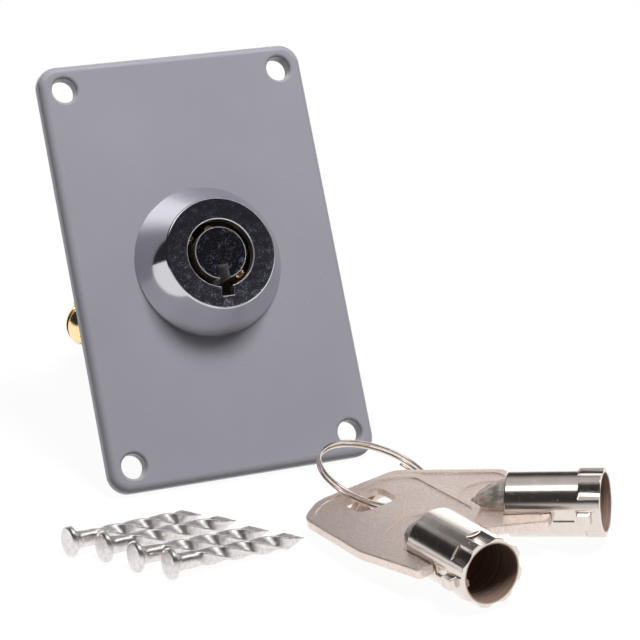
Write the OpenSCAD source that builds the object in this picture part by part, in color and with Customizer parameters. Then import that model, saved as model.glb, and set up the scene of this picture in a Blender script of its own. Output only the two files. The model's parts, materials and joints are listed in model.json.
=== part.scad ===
// Keyed rotary switch on a small mounting plate, shown leaning back on the plate's
// lower edge and the switch's rear rim, with its two tubular keys on a ring and four
// screw-shank nails. Millimetres. X to the plate's right, Y to the rear, Z up.
// The origin is the middle of the plate's lower back edge, on the floor.

/* [Mounting plate] */
// Width of the plate
plate_w = 40.6; // [34:0.1:80]
// Height of the plate
plate_h = 62.8; // [50:0.1:120]
// Thickness of the plate
plate_t = 2.4; // [1.6:0.1:5]
// Radius of the four corners
plate_corner_r = 3; // [2:0.1:8]
// Rounding along the front edge
plate_edge_r = 1.2; // [0.4:0.1:1.5]
// Diameter of the four nail holes
nail_hole_d = 3.6; // [3:0.1:4.5]
// Distance of the nail holes from the plate's edges
nail_hole_inset = 3.7; // [3:0.1:8]
// Width of the chamfer round each nail hole
nail_hole_chamfer = 0.4; // [0.1:0.1:0.8]

/* [Lock housing] */
// Outside diameter of the threaded body
body_d = 19; // [17:0.1:24]
// Distance across the two flats of the body
body_flats = 17; // [15.5:0.1:18]
// Length of the body behind the plate's back
body_len = 24; // [20:0.1:40]
// Distance between thread crests
thread_pitch = 1.2; // [0.8:0.1:2]
// Depth of the thread
thread_depth = 0.5; // [0.2:0.05:0.6]
// Reach of the conical bezel past the body at the plate
bezel_rim = 1.6; // [0.8:0.1:5]
// Diameter of the bezel at its face
bezel_face_d = 16.4; // [14:0.1:20]
// Height of the bezel over the plate
bezel_h = 6.2; // [5:0.1:12]
// Chamfer at the bezel's face
bezel_chamfer = 0.3; // [0.1:0.05:0.8]
// Thickness of the face round the keyway
lip_t = 1.8; // [1:0.1:2.5]
// Diameter of the keyway
mouth_d = 9.9; // [9.7:0.1:11]
// Width of the keyway's notch
notch_w = 2.2; // [2:0.1:3]
// Reach of the keyway's notch from the axis
notch_r = 6.3; // [6:0.1:6.6]
// Bore of the housing
bore_d = 13.4; // [13:0.1:15]

/* [Nut and washer] */
// Wall of the nut at its flats
nut_wall = 2.5; // [1.6:0.1:5]
// Thickness of the nut
nut_t = 3.2; // [2:0.1:6]
// Thickness of the toothed washer
washer_t = 0.8; // [0.5:0.1:1.5]
// Width of the washer's ring
washer_rim = 2.1; // [1.4:0.1:4]
// Number of washer teeth
washer_teeth = 20; // [12:1:30]
// Radius of the gaps between the washer teeth
washer_gap_r = 0.6; // [0.3:0.1:0.8]

/* [Pin lock] */
// Number of pins
pin_count = 7; // [5:1:7]
// Radius of the circle that the pins stand on
pin_ring_r = 4.32; // [4.2:0.01:4.4]
// Diameter of the pins
pin_d = 1.7; // [1.4:0.05:1.8]
// Clearance round a pin
pin_gap = 0.05; // [0.03:0.01:0.08]
// Depth of the shear line behind the plate's back
shear_depth = 4.4; // [3:0.1:6]
// Height of the spindle drum over the plate's back
drum_front = 2.1; // [1:0.1:3]
// Length of a driver pin
driver_pin_len = 3; // [2:0.1:4]
// Length of a pin spring
pin_spring_len = 4.8; // [3:0.1:5]
// Wall of a pin spring
pin_spring_wall = 0.3; // [0.2:0.05:0.5]
// Length of the driver sleeve
sleeve_len = 9; // [8.5:0.1:9.5]
// Diameter of the sleeve's retaining pin
sleeve_pin_d = 1.6; // [1:0.1:2]
// Height of a step of the key's cuts
cut_step = 0.45; // [0.3:0.05:0.5]
// Cuts of the key, in steps
key_cuts = [0, 1, 3, 2, 3, 3, 2];

/* [Spindle] */
// Diameter of the post in the keyway
post_d = 7.6; // [7.3:0.1:7.6]
// Diameter of the spindle's tail
tail_d = 5; // [4:0.1:5.4]
// Distance across the flats of the tail
tail_flats = 4; // [3.2:0.1:4.4]
// Depth of the clip groove in the tail
clip_groove = 0.4; // [0.3:0.05:0.5]
// Turn of the key between its two positions in degrees
switch_turn = 50; // [40:5:90]
// Outside diameter of the return spring
spring_od = 8; // [7:0.1:9]
// Wall of the return spring
spring_wall = 1; // [0.6:0.1:1.3]

/* [Switch] */
// Length of the switch base
base_len = 14.2; // [13.6:0.1:20]
// Distance across the base's flats
base_flats = 17.4; // [16:0.1:18.4]
// Depth of the rotor's space in the base
cavity_depth = 7; // [7:0.1:7.4]
// Diameter of the rotor's space in the base
cavity_d = 14; // [13.6:0.1:14.2]
// Thickness of the contact rotor
rotor_t = 3; // [2.5:0.1:3.2]
// Diameter of the contact rotor
rotor_d = 13.2; // [12:0.1:13.4]
// Thickness of the bridge contact
bridge_t = 0.5; // [0.3:0.1:0.8]
// Width of the bridge contact
bridge_w = 3; // [2:0.1:4]
// Distance of the contact points from the axis
contact_r = 5; // [4.9:0.1:5.2]
// Radius of a contact point
contact_tip_r = 0.8; // [0.5:0.05:0.85]
// Open gap between the contact points and the terminals
contact_gap = 0.1; // [0.1:0.05:0.3]
// Thickness of the terminals
terminal_t = 0.8; // [0.5:0.1:1]
// Width of the terminal tabs
terminal_w = 7; // [6:0.1:9]
// Width of the terminal legs
leg_w = 4; // [3:0.1:5]
// Thickness of the rotor clip
clip_t = 0.6; // [0.4:0.05:0.7]
// Outside diameter of the rotor clip
clip_d = 7.4; // [6.6:0.1:7.8]
// Shank diameter of the two base screws
base_screw_d = 1.4; // [1:0.1:1.5]
// Head diameter of the two base screws
base_screw_head_d = 2.6; // [2:0.1:2.8]
// Head height of the two base screws
base_screw_head_h = 0.8; // [0.4:0.1:0.9]
// Reach of the base screws into the housing
base_screw_reach = 4; // [3:0.1:6]

/* [Terminal screws] */
// Diameter of a terminal screw's head
screw_head_d = 6.1; // [5:0.1:6.4]
// Height of the head's rim
screw_rim_h = 1.2; // [0.8:0.1:2]
// Height of the dome over the rim
screw_dome_h = 1.5; // [0.8:0.1:2]
// Diameter of the shank
screw_d = 3; // [2:0.1:3.4]
// Length of the shank
screw_len = 6; // [4:0.1:6.5]
// Width of the slot in the head
screw_slot_w = 0.9; // [0.6:0.1:1.2]
// Number of notches round the head
screw_notches = 12; // [8:1:20]
// Radius of a notch
screw_notch_r = 0.3; // [0.2:0.05:0.4]
// Sideways place of the screws on their tabs
screw_shift = -0.8; // [-1:0.1:0]

/* [Keys] */
// Outside diameter of a key's barrel
barrel_d = 9.4; // [9.2:0.1:9.4]
// Inside diameter of a key's barrel
barrel_bore_d = 7.84; // [7.8:0.02:8]
// Length of a key's barrel
barrel_len = 13.1; // [11:0.1:16]
// Thickness of the barrel's rear wall
barrel_floor = 2; // [1:0.1:3]
// Diameter of the neck
neck_d = 6.8; // [5:0.1:7]
// Width of the neck halfway along its taper, along the bow
neck_mid_d = 6.2; // [5:0.1:6.6]
// Height of the neck halfway along its taper, across the bow
neck_mid_h = 4.8; // [4:0.1:6]
// Width of the neck's end, along the bow
neck_tip_d = 3.4; // [2.4:0.1:4]
// Height of the neck's end, across the bow
neck_tip_h = 1.9; // [1.8:0.1:3]
// Length of the neck's collar
collar_len = 0.9; // [0.5:0.1:1.5]
// Length of the whole neck
neck_len = 4.7; // [4:0.1:5]
// Radius of the cutter that makes the cuts
cutter_r = 3; // [2:0.1:4]
// Depth of the cuts into the barrel's wall
cut_depth = 0.45; // [0.2:0.05:0.55]
// Length of the shortest cut
cut_len = 2.4; // [1.5:0.1:3]
// Length growth of a cut by one step
cut_len_step = 0.3; // [0.1:0.05:0.4]
// Height of the stud over the barrel
stud_h = 1.1; // [0.6:0.1:1.2]
// Width of the stud
stud_w = 1.8; // [1:0.1:1.8]
// Length of the stud
stud_len = 2.5; // [1.5:0.1:3]
// Distance of the stud from the open end
stud_back = 1; // [0.5:0.1:1.5]
// Length of the window behind the stud
window_len = 2.9; // [2:0.1:4]
// Width of the window behind the stud
window_w = 1.4; // [1:0.1:1.8]
// Depth of the window behind the stud
window_depth = 0.35; // [0.1:0.05:0.5]
// Height of the nib inside the open end
nib_h = 0.35; // [0.2:0.05:0.5]
// Width of the nib inside the open end
nib_w = 0.9; // [0.6:0.1:1.2]
// Length of the nib inside the open end
nib_len = 2; // [1:0.1:3]
// Thickness of the bow
bow_t = 1.4; // [1:0.05:1.4]
// Length of the bow behind the barrel
bow_len = 22.1; // [21:0.1:24]
// Width of the bow
bow_w = 18.7; // [17:0.1:19]
// Width of the bow's end
bow_end_w = 10.6; // [9:0.1:13]
// Length of the slope at the bow's end
bow_slope = 3.3; // [2:0.1:4.5]
// Length of the bow's arm along the barrel
arm_len = 6.5; // [4:0.1:7]
// Width of the rim round the bow's sunk panel
bow_rim = 1.1; // [0.6:0.1:2]
// Depth of the bow's sunk panel
panel_depth = 0.12; // [0.05:0.01:0.3]
// Length of the ring hole along the key
ring_hole_l = 5.5; // [5:0.1:5.8]
// Width of the ring hole
ring_hole_w = 6.4; // [5.8:0.1:7]
// Distance of the ring hole's middle behind the barrel
ring_hole_x = 16.75; // [16.5:0.05:17]

/* [Key ring] */
// Radius of the ring
ring_r = 8.24; // [8.14:0.02:8.34]
// Thickness of the ring's coil
ring_wire_d = 0.8; // [0.5:0.05:0.82]
// Place of the ring to the right
ring_x = 13.72; // [13.6:0.02:13.8]
// Place of the ring to the front
ring_y = -15.72; // [-15.8:0.02:-15.6]
// Place of the ring over the floor
ring_z = 4.06; // [4:0.02:4.1]
// Tilt of the ring in degrees
ring_tilt = 18.1; // [17.6:0.1:18.6]
// Direction of the ring's tilt in degrees
ring_turn = -38.8; // [-40:0.1:-38]

/* [Nails] */
// Length of a nail
nail_len = 21; // [16:0.1:26]
// Diameter of a nail's head
nail_head_d = 4.3; // [3.9:0.1:5]
// Thickness of a nail's head
nail_head_t = 0.5; // [0.3:0.1:0.8]
// Length of the flare under the head
nail_flare = 0.7; // [0.4:0.1:1.2]
// Diameter of the smooth neck
nail_neck_d = 2.3; // [2:0.05:2.8]
// Length of the smooth neck
nail_neck_len = 3.2; // [2:0.1:5]
// Width over the ridges of the shank
nail_ridge_d = 2.36; // [2:0.02:2.8]
// Width in the valleys of the shank
nail_valley_d = 1.56; // [1.2:0.02:1.8]
// Length of the pointed tip
nail_tip = 2.9; // [2:0.1:4]
// Turn of the shank's ridges in degrees
nail_twist = 320; // [180:10:500]

/* [Hidden] */
$fn = 64;
eps = 0.01;
seat_gap = 0.02;
fit_gap = 0.08;
wide_gap = 0.1;
body_r = body_d / 2;
thread_root_r = body_r - thread_depth;
bore_r = bore_d / 2;
face_z = plate_t + bezel_h;
lip_z = face_z - lip_t;
lock_up = plate_h / 2;
base_r = body_d / 2;
rear_depth = body_len + base_len;
lean = atan2(lock_up - base_r, rear_depth);
bezel_base_d = body_d + 2 * bezel_rim;
washer_d = body_d + 2 * washer_rim;
nut_af = body_d + 2 * nut_wall;
nut_z = -washer_t - nut_t;
shear_z = -shear_depth;
sleeve_gap = 0.05;
sleeve_front = shear_z - sleeve_gap;
sleeve_rear = sleeve_front - sleeve_len;
pin_hole_r = pin_d / 2 + pin_gap;
pin_first = -90;
pin_pitch = 45;
pin_front_gap = 0.4;
post_front = face_z - wide_gap;
slot_r = 1.7;
slot_w = 1.6;
slot_depth = 5;
tail_r = tail_d / 2;
flat_gap = 0.02;
cavity_z = -body_len - cavity_depth;
rotor_inset = 1;
rotor_front = -body_len - rotor_inset;
rotor_rear = rotor_front - rotor_t;
bridge_rear = rotor_rear - bridge_t;
leg_top = cavity_z + terminal_t;
contact_end = leg_top + contact_gap;
hub_r = 3.9;
clip_front = bridge_rear - seat_gap;
clip_rear = clip_front - clip_t;
clip_mouth = 2.4;
tail_end = 0.5;
tail_rear = clip_rear - tail_end;
spring_gap = 0.2;
spring_front = sleeve_rear - spring_gap;
spring_rear = -body_len + spring_gap;
flat_x = base_flats / 2;
tab_x = flat_x + terminal_t;
leg_overlap = 1.5;
leg_in = contact_r - leg_overlap;
screw_up = 3.8;
screw_z = -rear_depth + screw_up;
screw_r = screw_d / 2;
head_r = screw_head_d / 2;
slot_turn = 60;
slot_floor = 0.3;
dome_r = (head_r * head_r + screw_dome_h * screw_dome_h) / (2 * screw_dome_h);
base_screw_shift = 0.15;
base_screw_ring = (bore_r + thread_root_r) / 2 + base_screw_shift;
base_slot_w = 0.5;
base_slot_depth = 0.4;
tab_gap = 0.2;
sleeve_hole_in = 1;
base_screw_angles = [60, 240];
barrel_r = barrel_d / 2;
half_bow = bow_w / 2;
key_slot = bow_t / 2 + seat_gap;
shoulder_x = 2.8;
shoulder_y = 6.3;
arm_y = 6.9;
arm_start = 4.4;
tab_back = 5.3;
tab_half = 5.5;
corner_steps = 5;
front_key_turn = -82;
front_key_pitch = 3.24;
front_key_roll = 8.19;
front_key_at = [11.84, -40.16, barrel_r * cos(front_key_pitch)];
rear_key_turn = -38;
rear_key_pitch = 7.04;
rear_key_roll = 3.29;
rear_key_at = [26.6, -32.6, barrel_r * cos(rear_key_pitch)];
nail_shank_len = nail_len - nail_neck_len - nail_tip;
nail_slope = asin((nail_head_d - nail_ridge_d) / 2 / (nail_len - nail_tip));
nail_z = nail_head_d / 2 * cos(nail_slope);
nail_places = [[-31.6, -16.3, 10.4], [-27.9, -19.7, 9.6], [-25, -24.3, 8.9], [-21.5, -28.1, 8.5]];

// Plate frame: X right, Y up the plate, Z out of its front, origin on the lower back edge
module on_plate() {
    rotate([90 - lean, 0, 0]) children();
}

// Lock frame: the same directions, origin where the lock's axis meets the plate's back
module on_lock() {
    on_plate() translate([0, lock_up, 0]) children();
}

// A cylinder on the lock's axis from one height to another
module bar(r, z0, z1) {
    translate([0, 0, z0]) cylinder(r = r, h = z1 - z0);
}

// A block with two flats across X, centred on the axis
module flats(width, z0, z1, depth) {
    translate([-width / 2, -depth / 2, z0]) cube([width, depth, z1 - z0]);
}

// Points of a rounded corner at b between a and c
function corner(a, b, c, reach) =
    let (p = b + reach * (a - b) / norm(a - b), q = b + reach * (c - b) / norm(c - b))
    [for (i = [0:corner_steps]) let (t = i / corner_steps)
        (1 - t) * (1 - t) * p + 2 * t * (1 - t) * b + t * t * q];

// An outline with every corner rounded by its own reach
function rounded(pts, reach) =
    let (n = len(pts))
    [for (i = [0:n - 1])
        each corner(pts[(i + n - 1) % n], pts[i], pts[(i + 1) % n], reach[i])];

// Cross-section of the plate's edge, from its inside to its rounded front edge
module edge_section(reach) {
    steps = 6;
    polygon(concat([[0, 0], [reach, 0]],
        [for (i = [0:steps]) let (a = 90 * i / steps)
            [reach - plate_edge_r + plate_edge_r * cos(a),
             plate_t - plate_edge_r + plate_edge_r * sin(a)]],
        [[0, plate_t]]));
}

module plate_blank() {
    in_w = plate_w - 2 * plate_corner_r;
    in_h = plate_h - 2 * plate_corner_r;
    translate([-in_w / 2, -in_h / 2, 0]) cube([in_w, in_h, plate_t]);
    for (s = [0, 180]) rotate([0, 0, s]) {
        translate([in_w / 2, in_h / 2, 0]) rotate([90, 0, 0])
            linear_extrude(in_h) edge_section(plate_corner_r);
        rotate([0, 0, 90]) translate([in_h / 2, in_w / 2, 0]) rotate([90, 0, 0])
            linear_extrude(in_w) edge_section(plate_corner_r);
        translate([in_w / 2, in_h / 2, 0])
            rotate_extrude(angle = 90) edge_section(plate_corner_r);
        translate([-in_w / 2, in_h / 2, 0]) rotate([0, 0, 90])
            rotate_extrude(angle = 90) edge_section(plate_corner_r);
    }
}

module mount_plate() {
    hole_r = nail_hole_d / 2;
    hole_x = plate_w / 2 - nail_hole_inset;
    hole_y = plate_h / 2 - nail_hole_inset;
    color([0.57, 0.57, 0.61]) on_lock() difference() {
        plate_blank();
        intersection() {
            bar(body_r + wide_gap, -1, plate_t + 1);
            flats(body_flats + 2 * wide_gap, -1, plate_t + 1, 2 * body_d);
        }
        for (x = [-hole_x, hole_x], y = [-hole_y, hole_y]) translate([x, y, 0]) {
            bar(hole_r, -1, plate_t + 1);
            translate([0, 0, plate_t - nail_hole_chamfer])
                cylinder(r1 = hole_r, r2 = hole_r + 2 * nail_hole_chamfer,
                    h = 2 * nail_hole_chamfer);
        }
    }
}

// Threaded body from the housing's rear end to the plate's front
module threaded_body() {
    turns = floor((body_len - washer_t) / thread_pitch);
    top = -washer_t;
    rotate_extrude() polygon(concat([[0, -body_len], [thread_root_r, -body_len]],
        [for (i = [turns:-1:1]) each [
            [thread_root_r, top - i * thread_pitch + 0.1],
            [body_r, top - (i - 0.4) * thread_pitch],
            [body_r, top - (i - 0.6) * thread_pitch]]],
        [[body_r, top], [body_r, plate_t + eps], [0, plate_t + eps]]));
}

module lock_housing() {
    bezel_r = bezel_face_d / 2;
    color([0.8, 0.8, 0.82]) on_lock() difference() {
        union() {
            intersection() {
                threaded_body();
                flats(body_flats, -body_len - 1, plate_t + 1, 2 * body_d);
            }
            rotate_extrude() polygon([[0, plate_t], [bezel_base_d / 2, plate_t],
                [bezel_r, face_z - bezel_chamfer], [bezel_r - bezel_chamfer, face_z],
                [0, face_z]]);
        }
        bar(bore_r, -body_len - 1, lip_z);
        bar(mouth_d / 2, lip_z - 1, face_z + 1);
        translate([-notch_w / 2, -notch_r, lip_z - 1]) cube([notch_w, notch_r, lip_t + 2]);
        translate([0, 0, (sleeve_front + sleeve_rear) / 2]) rotate([90, 0, 0])
            cylinder(d = sleeve_pin_d, h = body_d);
        for (a = base_screw_angles) rotate([0, 0, a]) translate([base_screw_ring, 0, 0])
            bar(base_screw_d / 2 + seat_gap, -body_len - 1, -body_len + base_screw_reach);
    }
}

module lock_washer() {
    gap_turn = 360 / washer_teeth;
    color([0.75, 0.75, 0.77]) on_lock() difference() {
        bar(washer_d / 2, -washer_t, 0);
        bar(body_r + seat_gap, -washer_t - 1, 1);
        for (i = [0:washer_teeth - 1]) rotate([0, 0, i * gap_turn])
            translate([washer_d / 2, 0, 0]) bar(washer_gap_r, -washer_t - 1, 1);
    }
}

module lock_nut() {
    corner_r = nut_af / 2 / cos(30);
    cut = corner_r - nut_af / 2;
    color([0.78, 0.78, 0.8]) on_lock() difference() {
        intersection() {
            translate([0, 0, nut_z]) cylinder(r = corner_r, h = nut_t, $fn = 6);
            rotate_extrude() polygon([[0, nut_z], [corner_r - cut, nut_z],
                [corner_r + eps, nut_z + cut / 2], [corner_r + eps, -washer_t],
                [0, -washer_t]]);
        }
        bar(body_r + seat_gap, nut_z - 1, 0);
    }
}

// One copy on each pin's axis, with its number in $pin
module at_pins() {
    for (i = [0:pin_count - 1]) rotate([0, 0, pin_first + pin_pitch * (i + 1)])
        translate([pin_ring_r, 0, 0]) {
            $pin = i;
            children();
        }
}

module driver_sleeve() {
    pin_space = driver_pin_len + pin_spring_len;
    color([0.72, 0.6, 0.3]) on_lock() difference() {
        bar(bore_r - seat_gap, sleeve_rear, sleeve_front);
        bar(tail_r + wide_gap, sleeve_rear - 1, sleeve_front + 1);
        at_pins() bar(pin_hole_r, sleeve_front - pin_space, sleeve_front + 1);
        translate([0, -pin_ring_r + sleeve_hole_in, (sleeve_front + sleeve_rear) / 2]) rotate([90, 0, 0])
            cylinder(d = sleeve_pin_d, h = body_d);
    }
}

module sleeve_pin() {
    inner = pin_ring_r - sleeve_hole_in + seat_gap;
    color([0.7, 0.7, 0.72]) on_lock()
        translate([0, -inner, (sleeve_front + sleeve_rear) / 2]) rotate([90, 0, 0])
            cylinder(r = sleeve_pin_d / 2 - seat_gap, h = thread_root_r - inner);
}

module driver_pins() {
    color([0.8, 0.65, 0.35]) on_lock() at_pins()
        bar(pin_d / 2, sleeve_front - driver_pin_len, sleeve_front);
}

module pin_springs() {
    top = sleeve_front - driver_pin_len;
    outer = pin_d / 2 - pin_gap;
    color([0.7, 0.7, 0.7]) on_lock() at_pins() difference() {
        bar(outer, top - pin_spring_len, top);
        bar(outer - pin_spring_wall, top - pin_spring_len - 1, top + 1);
    }
}

module key_spindle() {
    groove_r = tail_r - clip_groove;
    color([0.12, 0.12, 0.13]) on_lock() difference() {
        union() {
            bar(post_d / 2, drum_front - 1, post_front);
            bar(bore_r - fit_gap, shear_z, drum_front);
            bar(tail_r, tail_rear, shear_z + 1);
        }
        at_pins() bar(pin_hole_r, shear_z - 1, lip_z);
        translate([-slot_w / 2, -post_d, post_front - slot_depth])
            cube([slot_w, post_d - slot_r, slot_depth + 1]);
        for (s = [0, 180]) rotate([0, 0, s])
            translate([tail_flats / 2, -tail_d, tail_rear - 1])
                cube([tail_d, 2 * tail_d, rotor_front - tail_rear + 1.5]);
        difference() {
            bar(tail_d, clip_rear - seat_gap, clip_front + seat_gap / 2);
            bar(groove_r, clip_rear - 1, clip_front + 1);
        }
    }
}

module key_pins() {
    color([0.85, 0.7, 0.4]) on_lock() at_pins()
        bar(pin_d / 2, shear_z, lip_z - pin_front_gap - cut_step * key_cuts[$pin]);
}

module return_spring() {
    color([0.6, 0.6, 0.62]) on_lock() difference() {
        bar(spring_od / 2, spring_rear, spring_front);
        bar(spring_od / 2 - spring_wall, spring_rear - 1, spring_front + 1);
    }
}

// Hole that fits over the tail's flats
module tail_hole(z0, z1) {
    intersection() {
        bar(tail_r + flat_gap, z0, z1);
        flats(tail_flats + 2 * flat_gap, z0, z1, 2 * tail_d);
    }
}

module contact_rotor() {
    color([0.75, 0.72, 0.62]) on_lock() difference() {
        bar(rotor_d / 2, rotor_rear, rotor_front);
        tail_hole(rotor_rear - 1, rotor_front + 1);
    }
}

module bridge_contact() {
    reach = contact_r + contact_tip_r;
    color([0.8, 0.62, 0.3]) on_lock() difference() {
        union() {
            bar(hub_r, bridge_rear, rotor_rear);
            rotate([0, 0, switch_turn]) {
                translate([-reach, -bridge_w / 2, bridge_rear])
                    cube([2 * reach, bridge_w, bridge_t]);
                for (s = [-1, 1]) translate([s * contact_r, 0, 0])
                    bar(contact_tip_r, contact_end, bridge_rear + bridge_t / 2);
            }
        }
        tail_hole(bridge_rear - 1, rotor_rear + 1);
    }
}

module rotor_clip() {
    inner = tail_r - clip_groove + flat_gap;
    color([0.6, 0.6, 0.62]) on_lock() difference() {
        bar(clip_d / 2, clip_rear, clip_front);
        bar(inner, clip_rear - 1, clip_front + 1);
        translate([-clip_mouth / 2, 0, clip_rear - 1]) cube([clip_mouth, clip_d, clip_t + 2]);
    }
}

module switch_base() {
    rear = -rear_depth;
    color([0.08, 0.08, 0.08]) on_lock() difference() {
        intersection() {
            bar(base_r, rear, -body_len);
            flats(base_flats, rear - 1, 0, 2 * body_d);
        }
        bar(cavity_d / 2, cavity_z, -body_len + 1);
        for (s = [0, 180]) rotate([0, 0, s])
            translate([leg_in, -leg_w / 2 - seat_gap, cavity_z])
                cube([body_d, leg_w + 2 * seat_gap, terminal_t + seat_gap]);
        for (s = [-1, 1]) translate([s * base_r, screw_shift, screw_z]) rotate([0, -90 * s, 0])
            cylinder(r = screw_r + seat_gap, h = base_r - tab_x + screw_len + tab_gap);
        for (a = base_screw_angles) rotate([0, 0, a]) translate([base_screw_ring, 0, 0])
            bar(base_screw_d / 2 + seat_gap, rear - 1, 0);
    }
}

module base_screws() {
    rear = -rear_depth;
    top = -body_len + base_screw_reach - 0.1;
    color([0.75, 0.75, 0.77]) on_lock()
        for (a = base_screw_angles) rotate([0, 0, a]) translate([base_screw_ring, 0, 0])
            difference() {
                union() {
                    bar(base_screw_d / 2, rear - eps, top);
                    bar(base_screw_head_d / 2, rear - base_screw_head_h, rear);
                }
                translate([-body_d, -base_slot_w / 2, rear - base_screw_head_h - 1])
                    cube([2 * body_d, base_slot_w, 1 + base_slot_depth]);
            }
}

// L-shaped contact: a leg on the floor of the rotor's space and a tab down the flat
module terminal(side) {
    rear = -rear_depth;
    color([0.82, 0.66, 0.34]) on_lock() rotate([0, 0, side]) difference() {
        union() {
            translate([leg_in, -leg_w / 2, cavity_z]) cube([tab_x - leg_in, leg_w, terminal_t]);
            translate([flat_x, -terminal_w / 2, rear + tab_gap])
                cube([terminal_t, terminal_w, leg_top - rear - tab_gap]);
        }
        translate([0, side == 0 ? screw_shift : -screw_shift, screw_z]) rotate([0, 90, 0])
            cylinder(r = screw_r + seat_gap, h = body_d);
    }
}

module terminal_left() {
    terminal(180);
}

module terminal_right() {
    terminal(0);
}

// Domed screw with a slot and a notched rim, its axis along X
module terminal_screw(s) {
    notch_turn = 360 / screw_notches;
    color([0.82, 0.68, 0.42]) on_lock()
        translate([s * tab_x, screw_shift, screw_z]) rotate([0, 90 * s, 0]) difference() {
            union() {
                bar(screw_r, -screw_len, screw_rim_h / 2);
                intersection() {
                    bar(head_r, 0, screw_rim_h + screw_dome_h);
                    translate([0, 0, screw_rim_h + screw_dome_h - dome_r]) sphere(dome_r);
                }
            }
            for (i = [0:screw_notches - 1]) rotate([0, 0, notch_turn * (i + 0.5)])
                translate([head_r, 0, 0]) bar(screw_notch_r, -1, screw_rim_h * 1.3);
            rotate([0, 0, slot_turn])
                translate([-head_r - 1, -screw_slot_w / 2, screw_rim_h + slot_floor])
                    cube([2 * head_r + 2, screw_slot_w, screw_dome_h + 1]);
        }
}

module terminal_screw_left() {
    terminal_screw(-1);
}

module terminal_screw_right() {
    terminal_screw(1);
}

module key_ring() {
    color([0.78, 0.78, 0.8]) translate([ring_x, ring_y, ring_z])
        rotate([0, ring_tilt, ring_turn])
            rotate_extrude($fn = 96) translate([ring_r, 0]) circle(d = ring_wire_d, $fn = 24);
}

// Key frame: X from the bow to the open end, origin at the barrel's rear rim
module as_front_key() {
    translate(front_key_at) rotate([0, 0, front_key_turn]) rotate([0, -front_key_pitch, 0])
        rotate([front_key_roll, 0, 0]) children();
}

module as_rear_key() {
    translate(rear_key_at) rotate([0, 0, rear_key_turn]) rotate([0, -rear_key_pitch, 0])
        rotate([rear_key_roll, 0, 0]) children();
}

// Outline of the bow, moved inward by i
function bow_outline(i) = rounded([
    [-bow_len + i, -bow_end_w / 2 + i / 2], [-bow_len + i, bow_end_w / 2 - i / 2],
    [-bow_len + bow_slope + i / 2, half_bow - i], [-shoulder_x - i / 2, half_bow - i],
    [-i, shoulder_y - i / 2], [0.5 - i, barrel_r - 1], [0.5 - i, -barrel_r],
    [arm_len - i, -barrel_r - i / 4], [arm_len - i, -arm_y + i / 2],
    [-arm_start, -half_bow + i], [-bow_len + bow_slope + i / 2, -half_bow + i]],
    [1.6, 1.6, 1.6, 0.9, 0.4, 0.05, 0.05, 0.05, 0.4, 0.9, 1.6]);

module sunk_panel() {
    linear_extrude(bow_t) difference() {
        polygon(bow_outline(bow_rim));
        translate([-tab_back, -tab_half]) square([bow_len, 2 * tab_half]);
    }
}

module key_bow() {
    hole_l = ring_hole_l / 2;
    hole_w = ring_hole_w / 2;
    hole_round = 1.6;
    difference() {
        translate([0, 0, -bow_t / 2]) linear_extrude(bow_t) difference() {
            polygon(bow_outline(0));
            translate([0, -barrel_r - seat_gap])
                square([2 * arm_len, 2 * (barrel_r + seat_gap)]);
            translate([-ring_hole_x, 0]) polygon(rounded([[-hole_l, -hole_w],
                [hole_l, -hole_w], [hole_l, hole_w], [-hole_l, hole_w]],
                [hole_round, hole_round, hole_round, hole_round]));
        }
        translate([0, 0, bow_t / 2 - panel_depth]) sunk_panel();
        translate([0, 0, panel_depth - 1.5 * bow_t]) sunk_panel();
    }
}

module key_barrel() {
    bore_end = barrel_len + 1;
    nib_base = 0.3;
    neck_mid_z = -(collar_len + neck_len) / 2;
    color([0.8, 0.8, 0.82]) rotate([0, 90, 0]) {
        difference() {
            union() {
                bar(barrel_r, 0, barrel_len);
                intersection() {
                    rotate_extrude() polygon([[0, -neck_len], [neck_tip_d / 2, -neck_len],
                        [neck_mid_d / 2, neck_mid_z], [neck_d / 2, -collar_len],
                        [neck_d / 2, 1], [0, 1]]);
                    rotate([90, 0, 0]) linear_extrude(neck_d + 2, center = true)
                        polygon([[-neck_tip_h / 2, -neck_len], [neck_tip_h / 2, -neck_len],
                            [neck_mid_h / 2, neck_mid_z], [neck_d / 2, -collar_len],
                            [neck_d / 2, 1], [-neck_d / 2, 1], [-neck_d / 2, -collar_len],
                            [-neck_mid_h / 2, neck_mid_z]]);
                }
                translate([0, -barrel_r + 1, barrel_len - stud_back]) rotate([90, 0, 0])
                    translate([-stud_w / 2, -stud_len, 0]) cube([stud_w, stud_len, 1 + stud_h]);
            }
            bar(barrel_bore_d / 2, barrel_floor, bore_end);
            translate([-key_slot, -barrel_d, -neck_len - 1])
                cube([2 * key_slot, 2 * barrel_d, neck_len + 1]);
            translate([-window_w / 2, -barrel_r - 1,
                barrel_len - stud_back - stud_len - window_len])
                cube([window_w, 1 + window_depth, window_len]);
            for (i = [0:pin_count - 1])
                rotate([0, 0, pin_first + pin_pitch * (i + 1)])
                    translate([barrel_r + cutter_r - cut_depth, 0, 0])
                        bar(cutter_r, barrel_len - cut_len - cut_len_step * key_cuts[i],
                            bore_end);
        }
        translate([-nib_w / 2, -barrel_bore_d / 2 - nib_base, barrel_len - nib_len])
            cube([nib_w, nib_base + nib_h, nib_len]);
    }
}

module front_key_bow() {
    color([0.74, 0.72, 0.71]) as_front_key() key_bow();
}

module front_key_barrel() {
    as_front_key() key_barrel();
}

module rear_key_bow() {
    color([0.74, 0.72, 0.71]) as_rear_key() key_bow();
}

module rear_key_barrel() {
    as_rear_key() key_barrel();
}

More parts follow.
